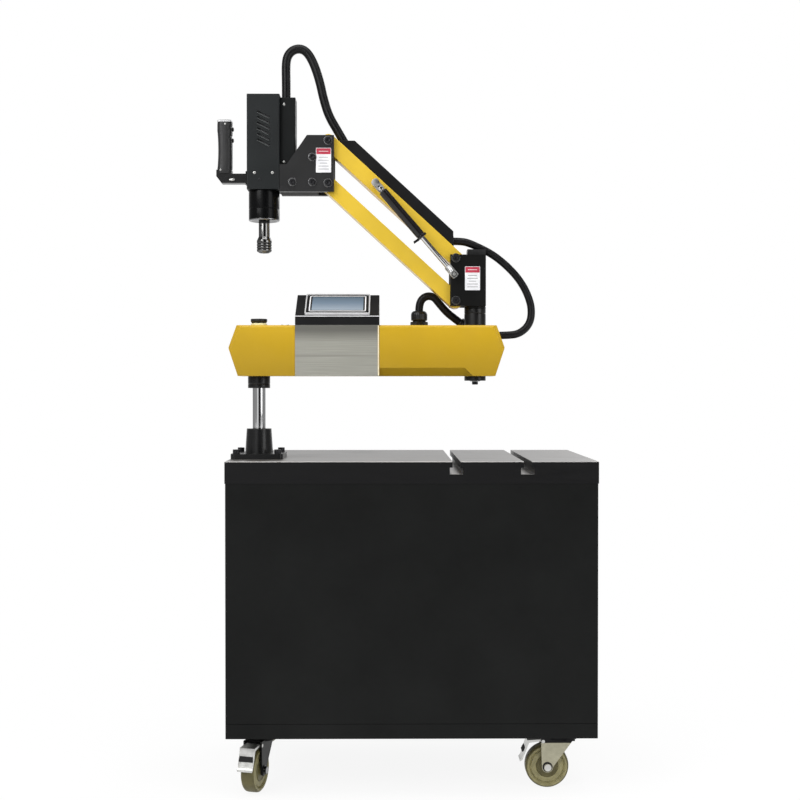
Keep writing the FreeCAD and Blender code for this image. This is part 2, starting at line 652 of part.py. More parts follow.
def slope_bevel(end, side):
    """The wedge that bevels one sloping end edge, from the top corner down to the tip."""
    x = COLUMN_X if end < 0 else ELBOW_X
    y = ARM_FRONT if side < 0 else ARM_BACK
    wires = []
    tip_z = ARM_BOTTOM + ARM_TIP_HEIGHT
    run = (ARM_TIP - ARM_TOP_CORNER) / (ARM_TOP - tip_z)
    for z, cut in ((ARM_TOP + OVERRUN, ARM_SLOPE_BEVEL), (tip_z - OVERRUN / 2, ARM_SLOPE_BEVEL / 2)):
        edge = x + end * (ARM_TOP_CORNER + run * (ARM_TOP - z))
        corners = [V(edge - end * cut, y, z), V(edge + end * cut, y + side * cut, z),
                   V(edge, y - side * cut, z)]
        wires.append(Part.makePolygon(corners + [corners[0]]))
    return Part.makeLoft(wires, True, True)


def arm_section(inset):
    """The arm's section in y and z, drawn in by a wall, with its bevelled top edges."""
    f, b = ARM_FRONT + inset, ARM_BACK - inset
    lo, hi = ARM_BOTTOM + inset, ARM_TOP - inset
    c = ARM_TOP_BEVEL
    return [(f, lo), (b, lo), (b, hi - c), (b - c, hi), (f + c, hi), (f, hi - c)]


def undercut():
    """The long chamfer under the front edge, between the panel and the elbow."""
    x0, x1 = PANEL_X1, ELBOW_X - UNDERCUT_FROM_ELBOW
    h, d = UNDERCUT_HEIGHT, UNDERCUT_DEPTH
    wedge = prism_x([(ARM_FRONT - OVERRUN, ARM_BOTTOM - OVERRUN), (ARM_FRONT + d, ARM_BOTTOM - OVERRUN),
                     (ARM_FRONT + d, ARM_BOTTOM), (ARM_FRONT, ARM_BOTTOM + h),
                     (ARM_FRONT - OVERRUN, ARM_BOTTOM + h)], x0, x1)
    side = prism_y([(x0, ARM_BOTTOM - OVERRUN), (x1, ARM_BOTTOM - OVERRUN), (x1, ARM_BOTTOM),
                    (x1 - h, ARM_BOTTOM + h), (x0, ARM_BOTTOM + h)], ARM_FRONT - OVERRUN, ARM_FRONT + d)
    return wedge.common(side)


def arm_housing():
    ends = (COLUMN_X - ARM_TIP - OVERRUN, ELBOW_X + ARM_TIP + OVERRUN)
    body = prism_y(arm_outline(), ARM_FRONT, ARM_BACK).common(prism_x(arm_section(0), *ends))
    for end in (-1, 1):
        for side in (-1, 1):
            body = body.cut(slope_bevel(end, side))
    body = body.cut(undercut())
    hollow_left = COLUMN_X + HUB_RING_FLANGE_R + BUSH_WALL + POST_BORE_WALL
    hollow_right = ELBOW_X - ELBOW_HOUSING_R - POST_BORE_WALL - ARM_WALL
    inset = ARM_WALL + UNDERCUT_DEPTH / 2
    hollow = box(hollow_left, hollow_right, ARM_FRONT + inset, ARM_BACK - ARM_WALL,
                 ARM_BOTTOM + ARM_WALL, ARM_TOP - ARM_WALL)
    body = body.cut(hollow)
    body = body.cut(cyl(COLUMN_R + BUSH_WALL, COLUMN_X, AXIS_Y, ARM_BOTTOM - OVERRUN, ARM_TOP + OVERRUN))
    body = body.cut(cyl(ELBOW_HOUSING_R, ELBOW_X, AXIS_Y, ARM_BOTTOM + ARM_WALL, ARM_TOP + OVERRUN))
    body = body.cut(cyl(ELBOW_SHAFT_R + SEAT_GAP, ELBOW_X, AXIS_Y, ARM_BOTTOM - OVERRUN, ARM_TOP))
    x0, x1, y0, y1 = switch_limits(SWITCH_RIM)
    body = body.cut(box(x0, x1, y0, y1, ARM_TOP - SWITCH_BODY_DEPTH, ARM_TOP + OVERRUN))
    body = body.cut(cyl(GLAND_THREAD_R, GLAND_TOP.x, GLAND_TOP.y, ARM_TOP - GLAND_THREAD, ARM_TOP + OVERRUN))
    body = body.cut(slanting_gland())
    end = LOOP_HOSE_END
    return body.cut(cyl_x(END_GLAND_R, end.y, end.z, end.x - END_GLAND_LENGTH, end.x + ARM_TIP))


def slanting_gland():
    """Plain gland let into the arm's top in line with the hose's end."""
    before, end = GLAND_HOSE_ROUTE[-2:]
    return Part.makeCylinder(GLAND_LOW_R, GLAND_LOW_LENGTH, end, end - before)


def hose_glands():
    """A domed gland and a slanting one on the arm's top, and a grommet in its end slope."""
    x, y, top = GLAND_TOP
    base = ARM_TOP + GLAND_HEX
    foot = hexagon(GLAND_HEX_R, x, y, ARM_TOP, base)
    waist = cyl(GLAND_R - BUSH_WALL, x, y, base, base + EDGE_BREAK * 2)
    nut = cyl(GLAND_R, x, y, base + EDGE_BREAK * 2, top)
    nut = nut.makeFillet(BUSH_WALL, edges_where(nut, lambda e, m: len(e.Vertexes) == 1 and m.z > top - FIT))
    thread = cyl(GLAND_THREAD_R, x, y, ARM_TOP - GLAND_THREAD, ARM_TOP)
    end = LOOP_HOSE_END
    grommet = cyl_x(END_GLAND_R, end.y, end.z, end.x - END_GLAND_LENGTH, end.x)
    return [fuse(thread, foot, waist, nut), slanting_gland(), grommet]


def front_panel():
    return box(PANEL_X0, PANEL_X1, ARM_FRONT - FRONT_PANEL_THICKNESS, ARM_FRONT, ARM_BOTTOM, ARM_TOP)


def console_profile(inset):
    """Section of the console in y and z: skirt, sloping face, back wall."""
    f = ARM_FRONT - FRONT_PANEL_THICKNESS + inset
    top_y = f - inset + CONSOLE_RUN
    z0, skirt, top = ARM_TOP, ARM_TOP + CONSOLE_SKIRT - inset / 2, ARM_TOP + CONSOLE_RISE - inset
    low = z0 if inset == 0 else z0 - OVERRUN
    return [(f, low), (top_y + CONSOLE_BACK - inset, low), (top_y + CONSOLE_BACK - inset, top - EDGE_BREAK),
            (top_y, top), (f, skirt)]


def slope_frame():
    """Middle of the console's sloping face, its up-slope and its outward directions."""
    f = ARM_FRONT - FRONT_PANEL_THICKNESS
    low, high = V(0, f, ARM_TOP + CONSOLE_SKIRT), V(0, f + CONSOLE_RUN, ARM_TOP + CONSOLE_RISE)
    up = (high - low).normalize()
    return (low + high) * 0.5 + V((PANEL_X0 + PANEL_X1) / 2, 0, 0), up, V(0, -up.z, up.y)


def on_slope(shape):
    """Moves a piece drawn flat, x across, y up the slope, z outwards, onto the sloping face."""
    at, up, out = slope_frame()
    turn = FreeCAD.Rotation(V(1, 0, 0), math.degrees(math.atan2(up.z, up.y)))
    shape.Placement = FreeCAD.Placement(at, turn)
    return shape


def flat_box(width, height, z0, z1):
    return box(-width / 2, width / 2, -height / 2, height / 2, z0, z1)


def display_back_size():
    return DISPLAY_WIDTH - DISPLAY_BACK_INSET * 2, DISPLAY_HEIGHT - DISPLAY_BACK_INSET * 2


def console_housing():
    body = prism_x(console_profile(0), PANEL_X0, PANEL_X1)
    hollow = prism_x(console_profile(CONSOLE_WALL), PANEL_X0 + CONSOLE_WALL, PANEL_X1 - CONSOLE_WALL)
    w, h = display_back_size()
    return body.cut(hollow).cut(on_slope(flat_box(w, h, -OVERRUN * 2, OVERRUN)))


def display_bezel():
    w, h = display_back_size()
    plate = flat_box(DISPLAY_WIDTH, DISPLAY_HEIGHT, 0, DISPLAY_PROUD)
    plate = plate.makeChamfer(EDGE_BREAK, edges_where(plate, lambda e, m: m.z > DISPLAY_PROUD - FIT))
    body = fuse(plate, flat_box(w, h, -DISPLAY_BACK, 0))
    window = flat_box(DISPLAY_WIDTH - DISPLAY_SIDE_FRAME * 2, DISPLAY_HEIGHT - DISPLAY_FRAME * 2,
                      DISPLAY_PROUD - SCREEN_RECESS - SCREEN_THICKNESS, DISPLAY_PROUD + OVERRUN)
    return on_slope(body.cut(window))


def display_screen():
    top = DISPLAY_PROUD - SCREEN_RECESS
    return on_slope(flat_box(DISPLAY_WIDTH - DISPLAY_SIDE_FRAME * 2, DISPLAY_HEIGHT - DISPLAY_FRAME * 2,
                             top - SCREEN_THICKNESS, top))


def column_bushes():
    """Flanged bush at the top, plain bush at the bottom, both pressed into the arm."""
    r, wall = COLUMN_R + FIT, COLUMN_R + BUSH_WALL
    bore = cyl(r, COLUMN_X, AXIS_Y, ARM_BOTTOM - OVERRUN, ARM_TOP + HUB_RING_RISE + OVERRUN)
    low = cyl(wall, COLUMN_X, AXIS_Y, ARM_BOTTOM, ARM_BOTTOM + BUSH_LENGTH)
    high = cyl(wall, COLUMN_X, AXIS_Y, ARM_TOP - BUSH_LENGTH, ARM_TOP)
    ring = cyl(HUB_RING_FLANGE_R, COLUMN_X, AXIS_Y, ARM_TOP, ARM_TOP + HUB_RING_RISE)
    ring = ring.makeChamfer(EDGE_BREAK, edges_where(
        ring, lambda e, m: len(e.Vertexes) == 1 and m.z > ARM_TOP + EDGE_BREAK))
    return [low.cut(bore), fuse(high, ring).cut(bore)]


def elbow_housing():
    tube = cyl(ELBOW_HOUSING_R, ELBOW_X, AXIS_Y, ARM_BOTTOM + ARM_WALL, ELBOW_TOP)
    return tube.cut(cyl(ELBOW_BORE_R, ELBOW_X, AXIS_Y, ARM_BOTTOM, ELBOW_TOP + OVERRUN))


def elbow_bearings():
    rings = []
    for z in (ARM_BOTTOM + ARM_WALL, ELBOW_TOP - ELBOW_BEARING_WIDTH):
        ring = cyl(ELBOW_BORE_R, ELBOW_X, AXIS_Y, z, z + ELBOW_BEARING_WIDTH)
        rings.append(ring.cut(cyl(ELBOW_SHAFT_R + FIT, ELBOW_X, AXIS_Y, z - OVERRUN,
                                  z + ELBOW_BEARING_WIDTH + OVERRUN)))
    return rings


def switch_limits(rim):
    half_l, half_w = SWITCH_LENGTH / 2 - rim, SWITCH_WIDTH / 2 - rim
    return SWITCH_X - half_l, SWITCH_X + half_l, AXIS_Y - half_w, AXIS_Y + half_w


def switch_frame():
    x0, x1, y0, y1 = switch_limits(0)
    rim = box(x0, x1, y0, y1, ARM_TOP, ARM_TOP + SWITCH_RIM_HEIGHT)
    a0, a1, b0, b1 = switch_limits(SWITCH_RIM)
    body = fuse(rim, box(a0, a1, b0, b1, ARM_TOP - SWITCH_BODY_DEPTH, ARM_TOP))
    c0, c1, d0, d1 = switch_limits(SWITCH_RIM * 2)
    well = box(c0, c1, d0, d1, ARM_TOP - ROCKER_DEPTH - EDGE_BREAK * 2, ARM_TOP + OVERRUN)
    x = (x0 + x1) / 2
    pivot = cyl_y(ROCKER_PIN_R + FIT, x, ARM_TOP, d0 - EDGE_BREAK, d1 + EDGE_BREAK)
    return body.cut(well).cut(pivot)


def power_rocker():
    c0, c1, d0, d1 = switch_limits(SWITCH_RIM * 2 + ROCKER_GAP)
    x, top, low = (c0 + c1) / 2, ARM_TOP + ROCKER_RISE, ARM_TOP - ROCKER_DEPTH / 2
    dip = EDGE_BREAK
    keel = (c1 - c0) / 4
    rocker = prism_y([(c0 + dip, low + dip), (x - keel, low - dip), (x + keel, low - dip),
                      (c1 - dip, low + dip), (c1 - dip / 2, top), (x, top - dip),
                      (c0 + dip / 2, top)], d0, d1)
    pin = cyl_y(ROCKER_PIN_R, x, ARM_TOP, d0 - EDGE_BREAK, d1 + EDGE_BREAK)
    return fuse(rocker, pin)


def control_unit():
    """Finned drive and power supply on the floor of the hollow arm."""
    z = ARM_BOTTOM + ARM_WALL
    units = []
    for k in range(UNIT_COUNT):
        x = COLUMN_X + UNIT_FROM_COLUMN + k * (UNIT_LENGTH + UNIT_GAP)
        unit = box(x, x + UNIT_LENGTH, AXIS_Y - UNIT_WIDTH / 2, AXIS_Y + UNIT_WIDTH / 2, z, z + UNIT_HEIGHT)
        step = UNIT_LENGTH / (UNIT_FIN_COUNT + k)
        for n in range(1, UNIT_FIN_COUNT + k):
            slot = box(x + n * step, x + n * step + UNIT_FIN, AXIS_Y - UNIT_WIDTH / 2 - OVERRUN,
                       AXIS_Y + UNIT_WIDTH / 2 + OVERRUN, z + UNIT_HEIGHT - UNIT_FIN_DEPTH,
                       z + UNIT_HEIGHT + OVERRUN)
            unit = unit.cut(slot)
        units.append(unit)
    return units


# Elbow and rear bracket
def elbow_shaft():
    return cyl(ELBOW_SHAFT_R, ELBOW_X, AXIS_Y, ARM_BOTTOM - SEAT_GAP, BRACKET_BOTTOM + PIVOT_ABOVE_BRACKET)


def elbow_cap():
    """Bottom disc and its bolt, screwed to the elbow shaft's end."""
    top = ARM_BOTTOM - SEAT_GAP
    disc = cyl(ELBOW_DISC_R, ELBOW_X, AXIS_Y, top - ELBOW_DISC, top)
    disc = disc.makeChamfer(EDGE_BREAK, edges_where(
        disc, lambda e, m: len(e.Vertexes) == 1 and m.z < top - FIT))
    head = hexagon(ELBOW_BOLT_R, ELBOW_X, AXIS_Y, top - ELBOW_DISC - ELBOW_BOLT_DROP, top - ELBOW_DISC)
    return fuse(disc, head)


def rear_bracket():
    x0, x1 = ELBOW_X - BRACKET_LEFT, ELBOW_X + BRACKET_RIGHT
    block = box(x0, x1, AXIS_Y - CHEEK_OUTER, AXIS_Y + CHEEK_OUTER, BRACKET_BOTTOM, BRACKET_TOP)
    block = block.makeFillet(HEAD_CORNER_R, upright_edges(block))
    slot = box(x0 - OVERRUN, x1 - BRACKET_POST, AXIS_Y - CHEEK_INNER, AXIS_Y + CHEEK_INNER,
               BRACKET_BOTTOM - OVERRUN, BRACKET_TOP + OVERRUN)
    collar = cyl(ELBOW_DISC_R, ELBOW_X, AXIS_Y, ELBOW_TOP + SEAT_GAP, BRACKET_BOTTOM)
    body = fuse(block.cut(slot), collar)
    body = body.cut(cyl(ELBOW_SHAFT_R, ELBOW_X, AXIS_Y, ELBOW_TOP, BRACKET_BOTTOM + PIVOT_ABOVE_BRACKET))
    for z in (REAR_LOW_Z, REAR_UP_Z):
        body = body.cut(cyl_y(PIVOT_R, REAR_X, z, AXIS_Y - CHEEK_OUTER - OVERRUN,
                              AXIS_Y + CHEEK_OUTER + OVERRUN))
    return body


def pivot_pin(x, z, outer):
    """A headed pivot pin across two cheeks, with a socket in its front head."""
    front, back = AXIS_Y - outer, AXIS_Y + outer
    pin = fuse(cyl_y(PIVOT_R, x, z, front, back), cyl_y(PIVOT_HEAD_R, x, z, front - PIVOT_HEAD, front),
               cyl_y(PIVOT_HEAD_R, x, z, back, back + PIVOT_HEAD))
    return pin.cut(cyl_y(PIVOT_SOCKET_R, x, z, front - PIVOT_HEAD - OVERRUN, front - PIVOT_HEAD / 2))


def rear_pins():
    return [pivot_pin(REAR_X, z, CHEEK_OUTER) for z in (REAR_LOW_Z, REAR_UP_Z)]


def hose_saddle():
    """Block on the bracket that carries the hose in a sloping groove."""
    x0, x1 = ELBOW_X - SADDLE_LEFT, ELBOW_X + SADDLE_RIGHT
    block = box(x0, x1, AXIS_Y - SADDLE_WIDTH / 2, AXIS_Y + SADDLE_WIDTH / 2, BRACKET_TOP,
                BRACKET_TOP + SADDLE_HEIGHT)
    start, end = BRIDGE_HOSE_ROUTE[-2], LOOP_HOSE_ROUTE[1]
    way = end - start
    groove = Part.makeCylinder(LOOP_HOSE_D / 2 + SADDLE_GAP, way.Length * 2, start - way * 0.5, way)
    return block.cut(groove)


# Parallel links and cable duct
def link_place(local):
    """Turns a piece drawn along +X from the rear pivot into the link's resting direction."""
    turned = local.copy()
    turned.rotate(V(0, 0, 0), V(0, 1, 0), 180 + LINK_ANGLE)
    return turned


def link_bar(pivot_z):
    half = LINK_WIDTH / 2
    bar = box(0, LINK_LENGTH, -half, half, -LINK_HEIGHT / 2, LINK_HEIGHT / 2)
    inner = LINK_HEIGHT / 2 - LINK_WALL
    bore = box(LINK_EYE_R * 2, LINK_LENGTH - LINK_EYE_R * 2, -half + LINK_WALL, half - LINK_WALL,
               -inner, inner)
    eyes = [cyl_y(LINK_EYE_R, x, 0, -half, half) for x in (0, LINK_LENGTH)]
    body = fuse(bar, *eyes).cut(bore)
    for x in (0, LINK_LENGTH):
        body = body.cut(cyl_y(PIVOT_R + FIT, x, 0, -half - OVERRUN, half + OVERRUN))
    body = link_place(body)
    body.translate(V(REAR_X, AXIS_Y, pivot_z))
    return body


def gas_anchors():
    top = V(REAR_X, GAS_Y, REAR_UP_Z) + ALONG * GAS_TOP_FROM_PIVOT
    low = V(REAR_X - GAS_LOW_LEFT, GAS_Y, REAR_UP_Z - GAS_LOW_DROP)
    return top, low


def upper_link():
    """The upper bar, with the stud that carries the gas spring's upper eye."""
    top, low = gas_anchors()
    face = AXIS_Y - LINK_WIDTH / 2
    eye_back = GAS_Y + GAS_EYE_THICKNESS / 2
    eye_front = GAS_Y - GAS_EYE_THICKNESS / 2
    shoulder = cyl_y(GAS_EYE_R, top.x, top.z, eye_back + SEAT_GAP, face)
    stud = cyl_y(GAS_EYE_HOLE_R - FIT, top.x, top.z, eye_front - SEAT_GAP, face)
    head = cyl_y(GAS_STUD_HEAD_R, top.x, top.z, eye_front - SEAT_GAP - GAS_STUD_HEAD, eye_front - SEAT_GAP)
    return fuse(link_bar(REAR_UP_Z), shoulder, stud, head)


def lower_link():
    return link_bar(REAR_LOW_Z)


def duct_outline(inset):
    """The duct's side: along the link's top, cut upright at the low end and level at the top."""
    base = V(REAR_X, 0, REAR_UP_Z) + ABOVE * (LINK_HEIGHT / 2 + DUCT_SEAT + inset)
    crest = V(REAR_X, 0, REAR_UP_Z) + ABOVE * (LINK_HEIGHT / 2 + DUCT_SEAT + DUCT_HEIGHT - inset)
    end_x, top_z = DUCT_END_X - inset, DUCT_TOP_Z - inset
    points = [base + ALONG * ((end_x - base.x) / ALONG.x), crest + ALONG * ((end_x - crest.x) / ALONG.x),
              crest + ALONG * ((top_z - crest.z) / ALONG.z), base + ALONG * ((top_z - base.z) / ALONG.z)]
    return [(p.x, p.z) for p in points]


def cable_duct():
    half = DUCT_WIDTH / 2
    outer = prism_y(duct_outline(0), AXIS_Y - half, AXIS_Y + half)
    inner = prism_y(duct_outline(DUCT_WALL), AXIS_Y - half + DUCT_WALL, AXIS_Y + half - DUCT_WALL)
    return outer.cut(inner)


# Gas spring
def along_gas(distance):
    top, low = gas_anchors()
    return top + (low - top).normalize() * distance


def gas_rod_like(r, start, length):
    top, low = gas_anchors()
    return Part.makeCylinder(r, length, along_gas(start), low - top)


def gas_cylinder():
    top, low = gas_anchors()
    y0, y1 = GAS_Y - GAS_EYE_THICKNESS / 2, GAS_Y + GAS_EYE_THICKNESS / 2
    eye = cyl_y(GAS_EYE_R, top.x, top.z, y0, y1)
    neck = gas_rod_like(GAS_NECK_R, 0, GAS_BODY_FROM_TOP)
    tube = gas_rod_like(GAS_R, GAS_BODY_FROM_TOP, GAS_BODY_LENGTH)
    end = GAS_BODY_FROM_TOP + GAS_BODY_LENGTH
    collar = gas_rod_like(GAS_COLLAR_R, end - GAS_COLLAR, GAS_COLLAR)
    body = fuse(eye, neck, tube, collar)
    body = body.cut(cyl_y(GAS_EYE_HOLE_R, top.x, top.z, y0 - OVERRUN, y1 + OVERRUN))
    return body.cut(gas_rod_like(GAS_ROD_R + FIT, end - GAS_BORE_DEPTH, GAS_BORE_DEPTH + OVERRUN))


def gas_rod():
    """Rod with its lower eye and ball stud; the stud's foot stands just clear of the cheek."""
    top, low = gas_anchors()
    length = (low - top).Length
    start = GAS_BODY_FROM_TOP + GAS_BODY_LENGTH - GAS_ROD_INSIDE
    rod = gas_rod_like(GAS_ROD_R, start, length - start)
    eye = cyl_y(GAS_EYE_R, low.x, low.z, GAS_Y - GAS_EYE_THICKNESS / 2, GAS_Y + GAS_EYE_THICKNESS / 2)
    ferrule = gas_rod_like(GAS_EYE_R, length - GAS_EYE_R * 3, GAS_EYE_R * 2)
    stud = cyl_y(GAS_EYE_HOLE_R, low.x, low.z, GAS_Y - GAS_EYE_THICKNESS / 2 - GAS_STUD_HEAD,
                 AXIS_Y - CHEEK_OUTER - SEAT_GAP)
    foot = cyl_y(GAS_STUD_HEAD_R, low.x, low.z, GAS_Y + GAS_EYE_THICKNESS / 2,
                 AXIS_Y - CHEEK_OUTER - SEAT_GAP)
    return fuse(rod, eye, ferrule, stud, foot)


# Front bracket and tapping head
def front_bracket():
    bottom = FRONT_LOW_Z - FRONT_BOTTOM
    outline = [(FRONT_X + FRONT_RIGHT, bottom), (FRONT_X + FRONT_RIGHT, FRONT_UP_Z + FRONT_TOP),
               (FRONT_X - FRONT_SLOPE_TOP, FRONT_UP_Z + FRONT_TOP),
               (FRONT_X - FRONT_SLOPE_LOW_X, FRONT_UP_Z - FRONT_SLOPE_LOW_DROP),
               (HEAD_RIGHT, FRONT_UP_Z - FRONT_SLOPE_LOW_DROP), (HEAD_RIGHT, bottom)]
    plates = []
    for side in (-1, 1):
        ya, yb = AXIS_Y + side * CHEEK_INNER, AXIS_Y + side * (CHEEK_INNER + FRONT_CHEEK)
        plate = prism_y(outline, min(ya, yb), max(ya, yb))
        for x, z in front_holes():
            plate = plate.cut(cyl_y(PIVOT_R if x == FRONT_X else CLAMP_BOLT_R + TOUCH_GAP, x, z,
                                    min(ya, yb) - OVERRUN, max(ya, yb) + OVERRUN))
        plates.append(plate)
    return plates


def front_holes():
    bottom = FRONT_LOW_Z - FRONT_BOTTOM
    clamps = [(FRONT_X - dx, bottom + dz) for dx, dz in CLAMP_BOLTS]
    return clamps + [(FRONT_X, FRONT_LOW_Z), (FRONT_X, FRONT_UP_Z)]


def bracket_bolts():
    outer = CHEEK_INNER + FRONT_CHEEK
    bolts = []
    for x, z in front_holes():
        if x == FRONT_X:
            bolts.append(pivot_pin(x, z, outer))
            continue
        front, back = AXIS_Y - outer, AXIS_Y + outer
        bolt = fuse(cyl_y(CLAMP_BOLT_R, x, z, front, back),
                    cyl_y(CLAMP_HEAD_R, x, z, front - CLAMP_HEAD, front),
                    cyl_y(CLAMP_HEAD_R, x, z, back, back + CLAMP_HEAD))
        bolts.append(bolt.cut(cyl_y(PIVOT_SOCKET_R, x, z, front - CLAMP_HEAD - OVERRUN,
                                    front - CLAMP_HEAD / 2)))
    return bolts


def head_mount_block():
    """Block between the plates that the head is clamped to, left of the link ends."""
    bottom = FRONT_LOW_Z - FRONT_BOTTOM
    outline = [(HEAD_RIGHT, bottom), (FRONT_X - BLOCK_FROM_PIVOT, bottom),
               (FRONT_X - BLOCK_FROM_PIVOT, bottom + BLOCK_HIGH_RISE),
               (FRONT_X - BLOCK_STEP_FROM_PIVOT, bottom + BLOCK_HIGH_RISE),
               (FRONT_X - BLOCK_STEP_FROM_PIVOT, bottom + BLOCK_LOW_RISE),
               (HEAD_RIGHT, bottom + BLOCK_LOW_RISE)]
    block = prism_y(outline, AXIS_Y - CHEEK_INNER, AXIS_Y + CHEEK_INNER)
    for x, z in front_holes():
        if x != FRONT_X:
            block = block.cut(cyl_y(CLAMP_BOLT_R + TOUCH_GAP, x, z, AXIS_Y - CHEEK_OUTER,
                                    AXIS_Y + CHEEK_OUTER))
    return block


def vent_cuts(y0, y1):
    """Slanting vent slots in one upright column."""
    cuts = []
    for k in range(VENT_COUNT):
        x = HEAD_LEFT + VENT_FROM_LEFT
        z = HEAD_TOP - VENT_TOP_DROP - k * VENT_PITCH
        slot = box(-VENT_LENGTH / 2, VENT_LENGTH / 2, y0, y1, -VENT_HEIGHT / 2, VENT_HEIGHT / 2)
        slot.rotate(V(0, 0, 0), V(0, 1, 0), VENT_TILT)
        slot.translate(V(x, 0, z))
        cuts.append(slot)
    return cuts


def head_housing():
    y0, y1 = AXIS_Y - HEAD_DEPTH / 2, AXIS_Y + HEAD_DEPTH / 2
    outer = box(HEAD_LEFT, HEAD_RIGHT, y0, y1, HEAD_BOTTOM, HEAD_TOP)
    outer = outer.makeFillet(HEAD_CORNER_R, upright_edges(outer))
    inner = box(HEAD_LEFT + HEAD_WALL, HEAD_RIGHT - HEAD_WALL, y0 + HEAD_WALL, y1 - HEAD_WALL,
                HEAD_BOTTOM + HEAD_WALL, HEAD_TOP - HEAD_WALL)
    body = outer.cut(inner)
    body = body.cut(cyl(SPINDLE_HOUSING_R - HEAD_WALL, SPINDLE_X, AXIS_Y, HEAD_BOTTOM - OVERRUN,
                        HEAD_BOTTOM + HEAD_WALL + OVERRUN))
    for slot in vent_cuts(y0 - OVERRUN, y0 + HEAD_WALL + OVERRUN) + vent_cuts(
            y1 - HEAD_WALL - OVERRUN, y1 + OVERRUN):
        body = body.cut(slot)
    return body


def cable_cover():
    """Narrow cover behind the head; the head hose goes in through its top."""
    x0, x1 = HEAD_RIGHT, HEAD_RIGHT + COVER_WIDTH
    y0, y1 = AXIS_Y - COVER_DEPTH / 2, AXIS_Y + COVER_DEPTH / 2
    low = FRONT_LOW_Z - FRONT_BOTTOM + BLOCK_LOW_RISE
    body = box(x0, x1, y0, y1, low, COVER_TOP)
    body = body.makeFillet(HEAD_CORNER_R, edges_where(
        body, lambda e, m: m.x > x1 - FIT and abs(e.Vertexes[0].Z - e.Vertexes[1].Z) > COVER_WIDTH))
    body = body.cut(box(x0 - OVERRUN, x1 - COVER_WALL, y0 + COVER_WALL, y1 - COVER_WALL,
                        low + COVER_WALL, COVER_TOP - COVER_WALL))
    return body


def servo_motor():
    top = HEAD_TOP - HEAD_WALL * 3
    half = MOTOR_SIDE / 2
    body = box(SPINDLE_X - half, SPINDLE_X + half, AXIS_Y - half, AXIS_Y + half, top - MOTOR_LENGTH, top)
    body = body.makeFillet(HEAD_CORNER_R * 2, upright_edges(body))
    gearbox = cyl(GEARBOX_R, SPINDLE_X, AXIS_Y, HEAD_BOTTOM + SPINDLE_HOUSING_INSIDE, top - MOTOR_LENGTH)
    return fuse(body, gearbox)


def spindle_housing():
    body = cyl(SPINDLE_HOUSING_R, SPINDLE_X, AXIS_Y, HOUSING_BOTTOM, HEAD_BOTTOM)
    body = body.makeFillet(EDGE_BREAK * 2, edges_where(
        body, lambda e, m: len(e.Vertexes) == 1 and m.z < HOUSING_BOTTOM + FIT))
    inside = cyl(SPINDLE_HOUSING_R - HEAD_WALL, SPINDLE_X, AXIS_Y, HEAD_BOTTOM,
                 HEAD_BOTTOM + SPINDLE_HOUSING_INSIDE)
    z = HOUSING_BOTTOM + SPINDLE_GROOVE_RISE
    groove = cyl(SPINDLE_HOUSING_R + OVERRUN, SPINDLE_X, AXIS_Y, z, z + SPINDLE_GROOVE).cut(
        cyl(SPINDLE_HOUSING_R - SPINDLE_GROOVE, SPINDLE_X, AXIS_Y, z, z + SPINDLE_GROOVE))
    body = fuse(body, inside).cut(groove)
    return body.cut(cyl(SPINDLE_R + FIT, SPINDLE_X, AXIS_Y, HOUSING_BOTTOM - OVERRUN,
                        HEAD_BOTTOM + SPINDLE_HOUSING_INSIDE - HEAD_WALL))


def chuck_low():
    return HOUSING_BOTTOM - SEAT_GAP - CHUCK_LENGTH - SLEEVE_NOSE_GAP - OVERRUN * 2


def spindle_chuck():
    """Spindle with its tapping chuck; a tap adaptor goes up into the bore."""
    top = HOUSING_BOTTOM - SEAT_GAP
    low = chuck_low()
    shaft = cyl(SPINDLE_R, SPINDLE_X, AXIS_Y, top, HEAD_BOTTOM + SPINDLE_HOUSING_INSIDE - HEAD_WALL * 2)
    neck_low = low + SLEEVE_NOSE_GAP + SLEEVE_LENGTH + SLEEVE_TRAVEL + SLEEVE_END_GAP
    neck = cyl(CHUCK_NECK_R, SPINDLE_X, AXIS_Y, neck_low, top)
    nose = cyl(CHUCK_NOSE_R, SPINDLE_X, AXIS_Y, low, neck_low)
    body = fuse(shaft, neck, nose)
    hole = cyl_y(CHUCK_HOLE_R, SPINDLE_X - CHUCK_NECK_R / 2, top - CHUCK_HOLE_DROP, AXIS_Y - CHUCK_NECK_R * 2,
                 AXIS_Y - CHUCK_NECK_R / 2)
    return body.cut(cyl(CHUCK_BORE_R, SPINDLE_X, AXIS_Y, low - OVERRUN, low + CHUCK_BORE_DEPTH)).cut(hole)


def chuck_sleeve():
    low = chuck_low() + SLEEVE_NOSE_GAP
    top = low + SLEEVE_LENGTH
    body = cyl(SLEEVE_R, SPINDLE_X, AXIS_Y, low, top)
    body = body.makeChamfer(EDGE_BREAK, edges_where(body, lambda e, m: len(e.Vertexes) == 1))
    for k in range(SLEEVE_GROOVES):
        z = low + SLEEVE_GROOVE_PITCH * (k + 1)
        ring = cyl(SLEEVE_R + OVERRUN, SPINDLE_X, AXIS_Y, z, z + SLEEVE_GROOVE).cut(
            cyl(SLEEVE_R - SLEEVE_GROOVE_DEPTH, SPINDLE_X, AXIS_Y, z, z + SLEEVE_GROOVE))
        body = body.cut(ring)
    return body.cut(cyl(CHUCK_NOSE_R + FIT, SPINDLE_X, AXIS_Y, low - OVERRUN, top + OVERRUN))


# Handle
def grip_x():
    return HEAD_LEFT - GRIP_FROM_HEAD


def grip_low():
    return HEAD_BOTTOM + GRIP_ABOVE_HEAD_BOTTOM


